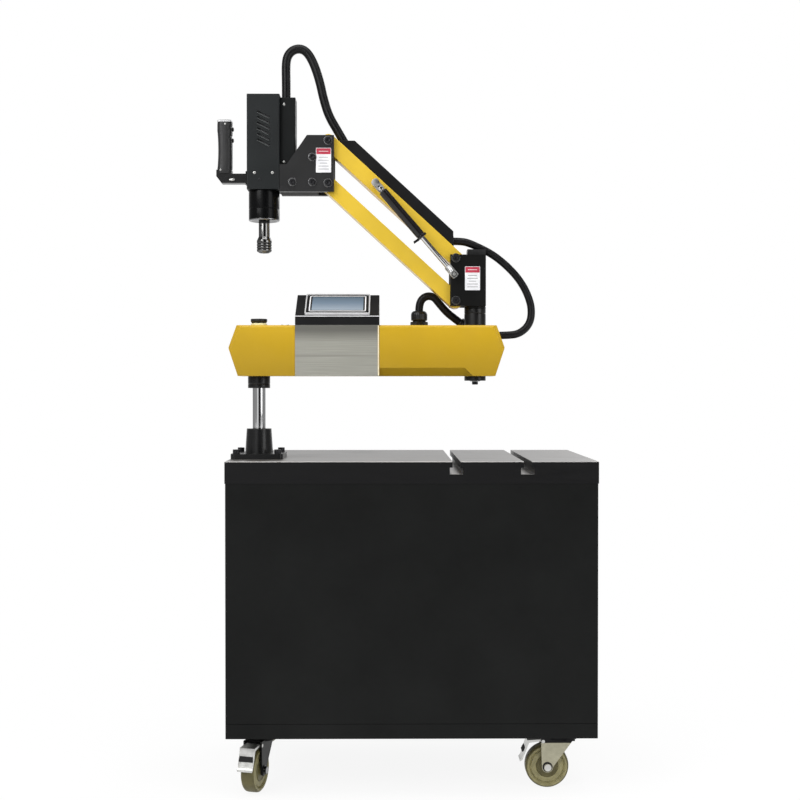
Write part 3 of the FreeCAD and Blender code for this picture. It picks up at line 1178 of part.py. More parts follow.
def handle_arm():
    """Bar from the head to the grip's foot, with a stem up through the grip."""
    x, low = grip_x(), HEAD_BOTTOM + HANDLE_BAR_RISE
    half = GRIP_WIDTH / 2
    top = low + HANDLE_BAR_HEIGHT
    outline = [(HEAD_LEFT - HANDLE_PAD, low), (HEAD_LEFT - HANDLE_PAD, top), (x + half, top),
               (x + half, grip_low()), (x - half, grip_low()), (x - half, top - HANDLE_SLANT / 2),
               (x - half + HANDLE_SLANT, low)]
    t = HANDLE_BAR_THICKNESS / 2
    bar = prism_y(outline, AXIS_Y - t, AXIS_Y + t)
    pad = box(HEAD_LEFT - HANDLE_PAD, HEAD_LEFT, AXIS_Y - t - HANDLE_PAD, AXIS_Y + t + HANDLE_PAD,
              low - HANDLE_PAD, top + HANDLE_PAD)
    stem = cyl(HANDLE_STEM_R, x, AXIS_Y, grip_low(), grip_low() + GRIP_LENGTH - BUTTON_R)
    return fuse(bar, pad, stem)


def handle_grip():
    """Round grip turned from a profile that is drawn in at its waist by an arc."""
    x, z0, r = grip_x(), grip_low(), GRIP_WIDTH / 2
    low, waist, high = [z0 + share * GRIP_LENGTH for share in GRIP_WAIST_SHARES]
    foot, start = V(x, AXIS_Y, z0), V(x + r, AXIS_Y, low)
    draw, end = V(x + r - GRIP_WAIST, AXIS_Y, waist), V(x + r, AXIS_Y, high)
    corner, top = V(x + r, AXIS_Y, z0 + GRIP_LENGTH), V(x, AXIS_Y, z0 + GRIP_LENGTH)
    edges = [Part.LineSegment(foot, V(x + r, AXIS_Y, z0)), Part.LineSegment(V(x + r, AXIS_Y, z0), start),
             Part.Arc(start, draw, end), Part.LineSegment(end, corner), Part.LineSegment(corner, top),
             Part.LineSegment(top, foot)]
    outline = Part.Face(Part.Wire([e.toShape() for e in edges]))
    body = outline.revolve(foot, V(0, 0, 1), 360)
    body = body.cut(cyl(GRIP_BORE_R, x, AXIS_Y, z0 - OVERRUN, z0 + GRIP_LENGTH - BUTTON_R + TOUCH_GAP))
    for drop in BUTTON_DROPS:
        z = z0 + GRIP_LENGTH - drop
        body = body.cut(cyl_x(BUTTON_R + FIT * 2, AXIS_Y, z, x + GRIP_WIDTH / 2 - BUTTON_POCKET,
                              x + GRIP_WIDTH + OVERRUN))
    return body


def grip_button(drop):
    x = grip_x() + GRIP_WIDTH / 2 - BUTTON_POCKET + BUTTON_TRAVEL + TOUCH_GAP
    z = grip_low() + GRIP_LENGTH - drop
    button = cyl_x(BUTTON_R, AXIS_Y, z, x, grip_x() + GRIP_WIDTH / 2 + BUTTON_PROUD)
    return button.makeFillet(EDGE_BREAK, edges_where(
        button, lambda e, m: len(e.Vertexes) == 1 and m.x > x + BUTTON_PROUD))


# Casters, drawn at the origin with the trail towards +X, then turned and moved
def caster_place(shape, name):
    x, y = caster_axis(name)
    placed = shape.copy()
    placed.rotate(V(0, 0, 0), V(0, 0, 1), CASTERS[name][2])
    placed.translate(V(x, y, 0))
    return placed


def caster_axis(name):
    side_x, side_y = CASTERS[name][:2]
    return (TABLE_SHIFT + side_x * (TABLE_WIDTH / 2 - CASTER_FROM_SIDE),
            side_y * (TABLE_DEPTH / 2 - CASTER_FROM_EDGE))


def caster_plates():
    plates = []
    low = CABINET_BOTTOM - CASTER_PLATE
    for name in CASTERS:
        x, y = caster_axis(name)
        plate = box(x - CASTER_PLATE_LENGTH / 2, x + CASTER_PLATE_LENGTH / 2,
                    y - CASTER_PLATE_WIDTH / 2, y + CASTER_PLATE_WIDTH / 2, low, CABINET_BOTTOM)
        plate = plate.makeFillet(FORK_CROWN, upright_edges(plate))
        race = cone(CROWN_R - CROWN_HEIGHT / 2, CROWN_R, x, y, low - CROWN_HEIGHT / 2, low)
        pin = cyl(KING_PIN_R, x, y, low - CROWN_HEIGHT - FORK_CROWN - CROWN_GAP, low)
        plates.append(fuse(plate, race, pin))
    return plates


def fork_top():
    return CABINET_BOTTOM - CASTER_PLATE - CROWN_HEIGHT / 2 - CROWN_GAP


def fork_gap():
    return WHEEL_WIDTH / 2 + FORK_LEG_GAP


def caster_fork(name):
    top = fork_top()
    low = top - CROWN_HEIGHT / 2
    crown = cone(CROWN_R, CROWN_R - EDGE_BREAK, 0, 0, low - FORK_CROWN / 2, top)
    outer = fork_gap() + FORK_LEG
    bridge = box(-CROWN_R + FORK_CROWN, CROWN_R + FORK_BRIDGE_OUT, -outer, outer, low - FORK_CROWN, low)
    legs = []
    for side in (-1, 1):
        ya, yb = side * fork_gap(), side * outer
        y0, y1 = min(ya, yb), max(ya, yb)
        web = prism_y([(-CROWN_R + FORK_CROWN, low), (CROWN_R + FORK_EAR, low),
                       (CASTER_TRAIL + FORK_LEG_END_R, WHEEL_R),
                       (CASTER_TRAIL - FORK_LEG_END_R, WHEEL_R)], y0, y1)
        legs.append(fuse(web, cyl_y(FORK_LEG_END_R, CASTER_TRAIL, WHEEL_R, y0, y1)))
    body = fuse(crown, bridge, *legs)
    body = body.cut(cyl(KING_PIN_R + FIT, 0, 0, low - FORK_CROWN - OVERRUN, top + OVERRUN))
    body = body.cut(cyl_y(WHEEL_R + FORK_LEG_GAP, CASTER_TRAIL, WHEEL_R, -fork_gap(), fork_gap()))
    pins = cyl_y(AXLE_R, CASTER_TRAIL, WHEEL_R, -outer - OVERRUN, outer + OVERRUN)
    if name in BRAKED:
        x, z = pedal_pin()
        body = body.cut(cyl_y(PEDAL_PIN_R + FIT, x, z, -outer - OVERRUN, outer + OVERRUN))
    body = body.cut(pins)
    axle = fuse(cyl_y(AXLE_R, CASTER_TRAIL, WHEEL_R, -outer, outer),
                cyl_y(AXLE_NUT_R, CASTER_TRAIL, WHEEL_R, outer, outer + AXLE_NUT),
                cyl_y(AXLE_NUT_R, CASTER_TRAIL, WHEEL_R, -outer - AXLE_NUT, -outer))
    return [caster_place(body, name), caster_place(axle, name)]


def caster_wheel(name):
    """Solid wheel turned from a profile: tread, groove ring, raised hub, bore."""
    half, r = WHEEL_WIDTH / 2, WHEEL_R
    wheel = cyl_y(r, CASTER_TRAIL, r, -half, half)
    wheel = wheel.makeFillet(WHEEL_EDGE, edges_where(wheel, lambda e, m: len(e.Vertexes) == 1))
    for side in (-1, 1):
        ya, yb = side * (half - WHEEL_RECESS), side * (half + OVERRUN)
        ring = cyl_y(WHEEL_GROOVE_R + WHEEL_GROOVE, CASTER_TRAIL, r, min(ya, yb), max(ya, yb))
        ring = ring.cut(cyl_y(WHEEL_HUB_R, CASTER_TRAIL, r, min(ya, yb), max(ya, yb)))
        wheel = wheel.cut(ring)
        hub_a, hub_b = side * (half - FIT), side * (half + FORK_LEG_GAP - SEAT_GAP)
        wheel = fuse(wheel, cyl_y(WHEEL_HUB_R / 2, CASTER_TRAIL, r, min(hub_a, hub_b), max(hub_a, hub_b)))
    return caster_place(wheel.cut(cyl_y(WHEEL_BORE_R, CASTER_TRAIL, r, -half * 2, half * 2)), name)


def pedal_pin():
    return CROWN_R + PEDAL_PIN_OUT, fork_top() - CROWN_HEIGHT - FORK_CROWN / 2


def brake_pedal(name):
    """Pressed steel pedal that hangs beyond the wheel, with a curled foot."""
    px, pz = pedal_pin()
    t, half = PEDAL_THICKNESS, PEDAL_WIDTH / 2
    reach = CASTER_TRAIL + WHEEL_R
    out, low = reach + PEDAL_OUT, pz - PEDAL_DROP
    plate = prism_y([(px, pz + t), (reach - t, pz + t / 2), (out, low + t * 2), (out + t, low + t),
                     (out + t, low), (out - t / 2, low + t), (reach - t * 2, pz - t), (px, pz)], -half, half)
    pin = cyl_y(PEDAL_PIN_R, px, pz, -fork_gap() - FORK_LEG, fork_gap() + FORK_LEG)
    return caster_place(fuse(plate, pin), name)


# Free hoses: straight runs joined by tangent arcs
ARC_SHARE = 0.45


def hose(name, points, diameter):
    edges, radii, at = [], [], points[0]
    for before, here, after in zip(points, points[1:], points[2:]):
        way_in, way_out = (here - before).normalize(), (after - here).normalize()
        turn = way_in.getAngle(way_out)
        reach = ARC_SHARE * min((here - before).Length, (after - here).Length)
        radius = reach / math.tan(turn / 2)
        radii.append(radius)
        start, end = here - way_in * reach, here + way_out * reach
        bow = (way_out - way_in).normalize()
        centre = here + bow * (radius / math.cos(turn / 2))
        edges.append(Part.LineSegment(at, start).toShape())
        edges.append(Part.Arc(start, centre - bow * radius, end).toShape())
        at = end
    edges.append(Part.LineSegment(at, points[-1]).toShape())
    path = Part.Wire(edges)
    normal = points[1] - points[0]
    section = Part.Wire(Part.makeCircle(diameter / 2, points[0], normal))
    tube = path.makePipeShell([section], True, False)
    exact = math.pi * diameter ** 2 / 4 * path.Length
    print(name, "length", round(path.Length, 1), "radii in diameters",
          [round(r / diameter, 1) for r in radii], "volume share", round(tube.Volume / exact, 4))
    return tube


def head_hose():
    """The hose that goes slanting into the duct, cut level where it meets the duct's top."""
    before, end = HEAD_HOSE_ROUTE[-2:]
    past = end + (end - before).normalize() * (HEAD_HOSE_D / 2)
    tube = hose("head_hose", HEAD_HOSE_ROUTE[:-1] + [past], HEAD_HOSE_D)
    return tube.cut(box(end.x - HEAD_HOSE_D, end.x + HEAD_HOSE_D * 2, AXIS_Y - HEAD_HOSE_D,
                        AXIS_Y + HEAD_HOSE_D, end.z - HEAD_HOSE_D, end.z))


# Every node
NODES = {
    "worktop": worktop, "cabinet_shell": cabinet_shell, "base_frame": base_frame,
    "rear_panel": rear_panel, "panel_screws": panel_screws,
    "column_flange": column_flange, "flange_bolts": flange_bolts, "column_shaft": column_shaft,
    "column_collar": column_collar, "column_cap": column_cap,
    "arm_housing": arm_housing, "front_panel": front_panel, "console_housing": console_housing,
    "display_bezel": display_bezel, "display_screen": display_screen,
    "column_bushes": column_bushes, "elbow_housing": elbow_housing,
    "elbow_bearings": elbow_bearings, "switch_frame": switch_frame, "power_rocker": power_rocker,
    "hose_glands": hose_glands, "control_unit": control_unit,
    "elbow_shaft": elbow_shaft, "elbow_cap": elbow_cap, "rear_bracket": rear_bracket,
    "rear_pins": rear_pins, "hose_saddle": hose_saddle,
    "upper_link": upper_link, "lower_link": lower_link, "cable_duct": cable_duct,
    "gas_cylinder": gas_cylinder, "gas_rod": gas_rod,
    "front_bracket": front_bracket, "bracket_bolts": bracket_bolts,
    "head_mount_block": head_mount_block, "head_housing": head_housing,
    "cable_cover": cable_cover, "servo_motor": servo_motor, "spindle_housing": spindle_housing,
    "spindle_chuck": spindle_chuck, "chuck_sleeve": chuck_sleeve,
    "handle_arm": handle_arm, "handle_grip": handle_grip, "caster_plates": caster_plates,
}

for node, make in NODES.items():
    save(node, make())
for node, drop in zip(("start_button", "reverse_button"), BUTTON_DROPS):
    save(node, grip_button(drop))
for place in CASTERS:
    save("caster_fork_" + place, caster_fork(place))
    save("caster_wheel_" + place, caster_wheel(place))
    if place in BRAKED:
        save("brake_pedal_" + place, brake_pedal(place))
save("head_hose", head_hose())
save("bridge_hose", hose("bridge_hose", BRIDGE_HOSE_ROUTE, LOOP_HOSE_D))
save("loop_hose", hose("loop_hose", LOOP_HOSE_ROUTE, LOOP_HOSE_D))
save("gland_hose", hose("gland_hose", GLAND_HOSE_ROUTE, GLAND_HOSE_D))
print("elbow x", ELBOW_X, "rear pivots", REAR_X, REAR_LOW_Z, REAR_UP_Z)
print("front pivots", FRONT_X, FRONT_LOW_Z, FRONT_UP_Z, "spindle x", SPINDLE_X)
print("gas anchors", gas_anchors(), "head", HEAD_LEFT, HEAD_RIGHT, HEAD_BOTTOM, HEAD_TOP)
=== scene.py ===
import bmesh
import bpy
import json
import math
import numpy as np
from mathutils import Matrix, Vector

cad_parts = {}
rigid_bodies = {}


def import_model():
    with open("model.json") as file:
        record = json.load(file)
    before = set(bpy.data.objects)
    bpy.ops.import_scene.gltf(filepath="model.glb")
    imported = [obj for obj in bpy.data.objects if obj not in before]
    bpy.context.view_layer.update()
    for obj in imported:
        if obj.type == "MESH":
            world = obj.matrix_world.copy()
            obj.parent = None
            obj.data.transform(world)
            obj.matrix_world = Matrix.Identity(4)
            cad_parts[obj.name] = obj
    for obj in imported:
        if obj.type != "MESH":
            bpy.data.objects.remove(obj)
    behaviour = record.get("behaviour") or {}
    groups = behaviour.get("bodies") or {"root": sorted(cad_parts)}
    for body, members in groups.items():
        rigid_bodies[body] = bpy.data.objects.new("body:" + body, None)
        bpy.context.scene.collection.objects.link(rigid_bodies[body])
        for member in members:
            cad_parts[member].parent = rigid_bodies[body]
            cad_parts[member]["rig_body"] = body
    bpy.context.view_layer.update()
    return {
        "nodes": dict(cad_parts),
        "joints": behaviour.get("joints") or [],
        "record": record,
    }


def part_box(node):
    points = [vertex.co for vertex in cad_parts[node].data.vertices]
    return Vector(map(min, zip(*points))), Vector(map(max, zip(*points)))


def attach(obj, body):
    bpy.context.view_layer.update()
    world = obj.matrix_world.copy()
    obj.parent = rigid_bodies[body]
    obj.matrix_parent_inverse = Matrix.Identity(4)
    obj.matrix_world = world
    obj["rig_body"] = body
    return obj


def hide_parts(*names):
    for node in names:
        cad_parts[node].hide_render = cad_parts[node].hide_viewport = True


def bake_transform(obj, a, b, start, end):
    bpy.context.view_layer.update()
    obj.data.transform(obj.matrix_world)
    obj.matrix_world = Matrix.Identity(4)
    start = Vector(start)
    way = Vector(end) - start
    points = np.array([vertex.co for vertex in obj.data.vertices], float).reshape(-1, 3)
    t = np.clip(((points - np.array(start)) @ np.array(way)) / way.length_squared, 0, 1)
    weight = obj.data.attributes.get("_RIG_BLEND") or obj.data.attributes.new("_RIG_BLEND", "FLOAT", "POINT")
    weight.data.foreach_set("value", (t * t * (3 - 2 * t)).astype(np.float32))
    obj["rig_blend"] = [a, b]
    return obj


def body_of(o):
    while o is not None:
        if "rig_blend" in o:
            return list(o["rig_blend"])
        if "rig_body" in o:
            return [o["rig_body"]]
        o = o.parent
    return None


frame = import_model()
nodes = frame["nodes"]
joints = {j["name"]: j for j in frame["joints"]}
slot_of = {s["node"]: s["material_slot"] for s in frame["record"]["subparts"]}
scene = bpy.context.scene
MM = 0.001
X, Y, Z = np.eye(3)


# Shapes: every surface is a function of two parameters, worked out as whole arrays. Places are in metres,
# profiles and sizes in millimetres.

def span(node):
    """Lowest and highest corner of a node, as two arrays in metres."""
    low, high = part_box(node)
    return np.array(low), np.array(high)


def middle(node):
    return sum(span(node)) / 2


def standing(node, x, y):
    """Foot of a node on the upright line at x and y, and its height in mm."""
    low, high = span(node)
    return (x, y, low[2]), (high[2] - low[2]) / MM


def unit(v):
    v = np.array(v, float)
    return v / np.linalg.norm(v)


def across(axis):
    """Two directions square to an axis and to each other."""
    u = np.cross(axis, Y if abs(axis[1]) < 0.9 else X)
    u = u / np.linalg.norm(u)
    return u, np.cross(axis, u)


def mesh_of(points, faces):
    """Closed mesh from points and faces, poles merged and faces turned outwards."""
    mesh = bpy.data.meshes.new("surface")
    mesh.from_pydata(np.asarray(points, float).reshape(-1, 3).tolist(), [], faces)
    work = bmesh.new()
    work.from_mesh(mesh)
    bmesh.ops.remove_doubles(work, verts=work.verts, dist=1e-7)
    bmesh.ops.recalc_face_normals(work, faces=work.faces)
    work.to_mesh(mesh)
    work.free()
    return mesh


def joined(meshes):
    """Several meshes as one."""
    work = bmesh.new()
    for mesh in meshes:
        work.from_mesh(mesh)
        bpy.data.meshes.remove(mesh)
    whole = bpy.data.meshes.new("group")
    work.to_mesh(whole)
    work.free()
    return whole


def grid_faces(rows, columns, ring_rows=False):
    """Four-sided faces over a grid of points whose columns close into rings, and its rows too if asked."""
    i = np.arange(rows if ring_rows else rows - 1)
    a, b = np.meshgrid(i, np.arange(columns), indexing="ij")
    c, d = (a + 1) % rows, (b + 1) % columns
    quads = np.stack([a * columns + b, a * columns + d, c * columns + d, c * columns + b], -1)
    return quads.reshape(-1, 4).tolist()


def surface(points, ring_rows=False, caps=True):
    """Mesh of a grid of points, rows by columns, whose columns close into rings."""
    rows, columns = points.shape[:2]
    faces = grid_faces(rows, columns, ring_rows)
    if caps and not ring_rows:
        faces += [list(range(columns))[::-1], list(range((rows - 1) * columns, rows * columns))]
    return mesh_of(points, faces)


def rounded(points, radius, steps=4):
    """An open outline whose corners are replaced by small parabolas that start radius from each corner."""
    p = np.array(points, float)
    back, ahead = p[:-2] - p[1:-1], p[2:] - p[1:-1]
    size_back, size_ahead = np.linalg.norm(back, axis=1), np.linalg.norm(ahead, axis=1)
    reach = np.minimum(radius, 0.45 * np.minimum(size_back, size_ahead))[:, None]
    start = p[1:-1] + back / size_back[:, None] * reach
    end = p[1:-1] + ahead / size_ahead[:, None] * reach
    t = np.linspace(0, 1, steps)[None, :, None]
    bend = (1 - t) ** 2 * start[:, None] + 2 * t * (1 - t) * p[1:-1][:, None] + t ** 2 * end[:, None]
    return np.vstack([p[:1], bend.reshape(-1, p.shape[1]), p[-1:]])


def closed_loop(points, corner):
    """A closed profile with rounded corners, for turning into a ring."""
    return rounded([points[-1], *points, points[0]], corner)[1:-1]


def turned(profile, place, axis=Z, sides=64, closed=False, corner=0.0, lobes=None):
    """Profile of radius and height, turned about an axis: place + height * axis + radius * (cos t, sin t).
    lobes(t, radius, height) gives a factor on the radius, for knurls, flats and grips."""
    profile = rounded(profile, corner) if corner else np.array(profile, float)
    axis = unit(axis)
    u, v = across(axis)
    t = np.linspace(0, 2 * math.pi, sides, endpoint=False)[None, :, None]
    radius, height = (profile[:, k][:, None, None] for k in (0, 1))
    if lobes is not None:
        radius = radius * lobes(t, radius, height)
    points = np.array(place) + (height * axis + radius * (np.cos(t) * u + np.sin(t) * v)) * MM
    return surface(points, ring_rows=closed)


def hollow(section, corner, place, axis=Z, sides=96, lobes=None):
    """Ring or shell: a closed section, its corners rounded, turned about an axis."""
    return turned(closed_loop(section, corner), place, axis, sides, closed=True, lobes=lobes)


def rod(radius, start, end, place, axis=Z, sides=48, corner=0.0):
    """Solid cylinder from start to end along an axis, its rims rounded by corner."""
    return turned([(0, start), (radius, start), (radius, end), (0, end)], place, axis, sides, corner=corner)


def ring(inner, outer, start, end, place, axis=Z, sides=48, corner=0.3):
    """Ring between two radii, from start to end along an axis, its edges rounded by corner."""
    return hollow([(inner, start), (outer, start), (outer, end), (inner, end)], corner, place, axis, sides)


def hexagonal(t):
    """Radius of a hexagon as a share of its corner's radius, round the turn t."""
    return math.cos(math.pi / 6) / np.cos(np.mod(t, math.pi / 3) - math.pi / 6)


def beyond(limit, factor):
    """Lobes that scale every radius over a limit by factor(t)."""
    return lambda t, radius, height: np.where(radius > limit, factor(t), 1.0)


def outline_plate(outline, start, end, normal=Y):
    """A flat outline of points in metres, extruded along a normal from start to end."""
    edge = np.array(outline, float)
    return surface(np.stack([edge + unit(normal) * start * MM, edge + unit(normal) * end * MM]))


def rounded_rectangle(width, height, radius, steps=6):
    """Outline of a rectangle about zero with quarter-circle corners, as x and y columns."""
    turns = np.linspace(0, math.pi / 2, steps)
    corners = [(1, 1, 0), (-1, 1, 1), (-1, -1, 2), (1, -1, 3)]
    parts = [np.stack([sx * (width / 2 - radius) + radius * np.cos(turns + k * math.pi / 2),
                       sy * (height / 2 - radius) + radius * np.sin(turns + k * math.pi / 2)], -1)
             for sx, sy, k in corners]
    return np.vstack(parts)


def laid(outline, centre, right, up):
    """A flat outline of x and y, laid on a plane about a centre."""
    return centre + (outline[:, :1] * right + outline[:, 1:] * up) * MM


def framed(section, width, height, radius, centre, right, up):
    """A section of outset and rise carried round a rounded rectangle that lies on a plane."""
    out = np.cross(right, up)
    rings = [laid(rounded_rectangle(width + 2 * outset, height + 2 * outset, max(radius + outset, 0.3)),
                  centre, right, up) + rise * out * MM for outset, rise in section]
    return surface(np.array(rings), ring_rows=True)


def swept(path, radius, sides=28):
    """Round tube along a path that lies in an upright plane y = constant: the section turns with the
    path's tangent, and radius is one number per path point."""
    tangent = np.gradient(path, axis=0)
    tangent /= np.linalg.norm(tangent, axis=1)[:, None]
    side = np.cross(tangent, Y)
    t = np.linspace(0, 2 * math.pi, sides, endpoint=False)[None, :, None]
    circle = np.cos(t) * Y + np.sin(t) * side[:, None, :]
    return surface(path[:, None, :] + circle * np.asarray(radius)[:, None, None])


# Pieces

def piece(name, mesh, like, look=None, instead=False, crease=32.0):
    """A finished piece on the body of the node it is like, in that node's finish unless a look is named.
    With instead, it stands for that node."""
    obj = bpy.data.objects.new(name, mesh)
    scene.collection.objects.link(obj)
    mesh.materials.clear()
    mesh.materials.append(LOOKS[look or slot_of[like]])
    mesh.shade_smooth()
    mesh.set_sharp_from_angle(angle=math.radians(crease))
    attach(obj, body_of(nodes[like])[0])
    if instead:
        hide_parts(like)
    return obj


def dressed(node, width, look=None, holed=False):
    """A merged copy of a node whose sharp edges are rounded by width; it stands for the node. The faces of a
    holed node are cut into triangles before its edges are rounded, those of the others after it."""
    mesh = nodes[node].data.copy()
    work = bmesh.new()
    work.from_mesh(mesh)
    bmesh.ops.remove_doubles(work, verts=work.verts, dist=1e-6)
    bmesh.ops.dissolve_limit(work, angle_limit=math.radians(0.6), verts=work.verts, edges=work.edges)
    if holed:
        bmesh.ops.triangulate(work, faces=work.faces)
    work.to_mesh(mesh)
    work.free()
    sharp = 28.0
    obj = piece(node + "_finished", mesh, node, look, True, sharp)
    bevel = obj.modifiers.new("rounded_edges", "BEVEL")
    bevel.width = width * MM
    bevel.segments = 3
    bevel.limit_method = "ANGLE"
    bevel.angle_limit = math.radians(sharp)
    bevel.miter_outer = "MITER_ARC"
    obj.modifiers.new("triangles", "TRIANGULATE").min_vertices = 5
    obj.modifiers.new("flat_faces", "WEIGHTED_NORMAL").keep_sharp = True
    return obj


def finish_only(*names):
    """Nodes that keep their own mesh and get their finish."""
    for node in names:
        mesh = nodes[node].data
        mesh.materials.clear()
        mesh.materials.append(LOOKS[slot_of[node]])


def socket_head(name, place, axis, head_r, height, like, look=None, instead=False, knurls=0):
    """Cap screw head: turned from its seat up, with a hexagon socket half as wide as the head and 0.55 of its
    height deep, and a side that ripples with the sine of knurls times the turn."""
    socket_r, socket_floor = head_r * 0.5, height * 0.45
    profile = [(head_r, 0), (head_r, height), (socket_r * 1.12, height), (socket_r, height - 0.5),
               (socket_r, socket_floor), (0, socket_floor)]

    def lobes(t, radius, h):
        flats = np.where(radius <= socket_r + 0.01, hexagonal(t), 1.0)
        return flats * np.where(radius > head_r * 0.93, 1 + 0.012 * np.sin(knurls * t), 1.0)
    head = turned(profile, place, axis, max(48, knurls * 4), corner=0.7, lobes=lobes)
    return piece(name, head, like, look, instead)


def pan_head(name, place, head_r, height, like, look):
    """Screw head that faces the front: a dome, the root of 1 less 0.85 times the radius's share squared,
    which dips by 0.45 of its height along two crossing lines."""
    u, v = across(-Y)
    radius = np.linspace(1, 0, 22)[:, None]
    t = np.linspace(0, 2 * math.pi, 56, endpoint=False)[None, :]
    a, b = radius * np.cos(t), radius * np.sin(t)
    arm_wide, arm_long = 0.13, 0.6
    cross = np.maximum((np.abs(a) < arm_wide) & (np.abs(b) < arm_long),
                       (np.abs(b) < arm_wide) & (np.abs(a) < arm_long))
    dome = np.sqrt(np.clip(1 - 0.85 * radius ** 2, 0, 1)) * np.ones_like(t)
    rise = np.vstack([np.zeros((1, t.shape[1])), height * (dome - cross * 0.45)])
    a, b = np.vstack([a[:1], a]), np.vstack([b[:1], b])
    points = place + ((a[..., None] * u + b[..., None] * v) * head_r - rise[..., None] * Y) * MM
    return piece(name, surface(points), like, look, crease=50)


def hexagon_head(name, place, axis, corner_r, height, like, look=None, instead=False):
    """Hexagon nut or bolt head: a turned profile whose side is hexagonal, with a turned chamfer on top."""
    profile = [(corner_r, 0), (corner_r, height * 0.84), (corner_r * 0.86, height), (0, height)]
    head = turned(profile, place, axis, 72, lobes=beyond(corner_r * 0.9, hexagonal))
    return piece(name, head, like, look, instead, 22)


# Looks: procedural finishes that read object coordinates

class Wiring:
    """Shader nodes of one tree, with small helpers that link them."""

    def __init__(self, tree):
        self.tree = tree
        self.place = self.node("TexCoord").outputs

    def node(self, kind, links=(), settings=(), **values):
        made = self.tree.nodes.new("ShaderNode" + kind)
        for key, value in dict(settings).items():
            setattr(made, key, value)
        for key, value in values.items():
            made.inputs[key.replace("_", " ")].default_value = value
        for socket, source in dict(links).items():
            self.join(source, made.inputs[socket])
        return made

    def join(self, source, target):
        self.tree.links.new(source, target)

    def parts(self, source):
        """X, Y and Z of a place: Object or Normal on a piece, Generated for the room's directions."""
        return self.node("SeparateXYZ", {"Vector": self.place[source]}).outputs

    def maths(self, operation, first, second=0.0):
        """A Math node on two numbers or sockets."""
        made = self.node("Math", settings={"operation": operation})
        for k, value in enumerate((first, second)):
            if isinstance(value, bpy.types.NodeSocket):
                self.join(value, made.inputs[k])
            else:
                made.inputs[k].default_value = value
        return made.outputs[0]

    def between(self, socket, low, high, start=0.3, end=0.7):
        """A pattern mapped to values from low to high as it goes from start to end."""
        return self.node("MapRange", {"Value": socket}, From_Min=start, From_Max=end, To_Min=low,
                         To_Max=high).outputs["Result"]

    def two_of(self, share, first, second):
        """Two shaders mixed by a share."""
        return self.node("MixShader", {0: share, 1: first, 2: second}).outputs[0]

    def shown_to(self, *kinds):
        """1 for rays of the kinds named, else 0."""
        ray = self.node("LightPath").outputs
        found = ray[kinds[0]]
        for kind in kinds[1:]:
            found = self.maths("MAXIMUM", found, ray[kind])
        return found


class Look(Wiring):
    """One material: a Principled shader with small helpers for patterns in object space."""

    def __init__(self, name, colour, roughness, metallic=0.0, coat=0.0, specular=0.5):
        self.name = name
        self.material = bpy.data.materials.new(name)
        self.material.use_nodes = True
        super().__init__(self.material.node_tree)
        self.shader = self.tree.nodes["Principled BSDF"]
        values = {"Base Color": (*colour, 1), "Roughness": roughness, "Metallic": metallic,
                  "Coat Weight": coat, "Coat Roughness": 0.1, "Specular IOR Level": specular}
        for key, value in values.items():
            self.shader.inputs[key].default_value = value

    def noise(self, scale, stretch=(1, 1, 1), detail=3.0, roughness=0.55):
        """Noise in object space; scale is in features per metre, stretched along each axis."""
        mapping = self.node("Mapping", {"Vector": self.place["Object"]}, Scale=stretch)
        return self.node("TexNoise", {"Vector": mapping.outputs[0]}, Scale=scale, Detail=detail,
                         Roughness=roughness).outputs["Fac"]

    def mixed(self, socket, first, second, start=0.3, end=0.7):
        """Two colours, or colour sockets, mixed by a pattern."""
        mix = self.node("Mix", {"Factor": self.between(socket, 0, 1, start, end)}, {"data_type": "RGBA"})
        for side, colour in ((6, first), (7, second)):
            if isinstance(colour, bpy.types.NodeSocket):
                self.join(colour, mix.inputs[side])
            else:
                mix.inputs[side].default_value = (*colour, 1)
        return mix.outputs[2]

    def painted_by(self):
        """The socket that the colour comes from so far."""
        return self.shader.inputs["Base Color"].links[0].from_socket

    def paint(self, socket):
        self.join(socket, self.shader.inputs["Base Color"])
        return self

    def rough(self, socket):
        self.join(socket, self.shader.inputs["Roughness"])
        return self

    def bump(self, socket, strength, distance):
        bump = self.node("Bump", {"Height": socket}, Strength=strength, Distance=distance)
        self.join(bump.outputs[0], self.shader.inputs["Normal"])
        return self


BLACK = (0.007, 0.007, 0.0074)


def tinted(colour, factor):
    return tuple(min(1.0, c * factor) for c in colour)


def painted(name, colour, roughness=0.35, coat=0.3, grain=500.0, depth=0.0002, specular=0.5, spread=0.12):
    """Sprayed or powder paint: faint cloudy colour, uneven gloss and a fine orange peel."""
    look = Look(name, colour, roughness, coat=coat, specular=specular)
    clouds = look.noise(7, detail=4)
    look.paint(look.mixed(clouds, tinted(colour, 1 - spread), tinted(colour, 1 + spread)))
    look.rough(look.between(look.noise(23, detail=5), roughness - 0.05, roughness + 0.07))
    return look.bump(look.noise(grain, detail=2), 0.25, depth)


def machined(name, colour, roughness=0.28, stretch=(1, 1, 40), scale=120.0, metallic=1.0, spread=0.12):
    """Bare metal with tool marks: noise stretched across the cutting direction."""
    look = Look(name, colour, roughness, metallic=metallic)
    marks = look.noise(scale, stretch, detail=3)
    stains = look.noise(14, detail=5)
    colour_marks = look.mixed(marks, tinted(colour, 1 - spread), tinted(colour, 1 + spread))
    look.paint(look.mixed(stains, colour_marks, tinted(colour, 0.82), 0.5, 0.85))
    look.rough(look.between(marks, roughness - 0.08, roughness + 0.1))
    return look.bump(marks, 0.35, 0.00004)


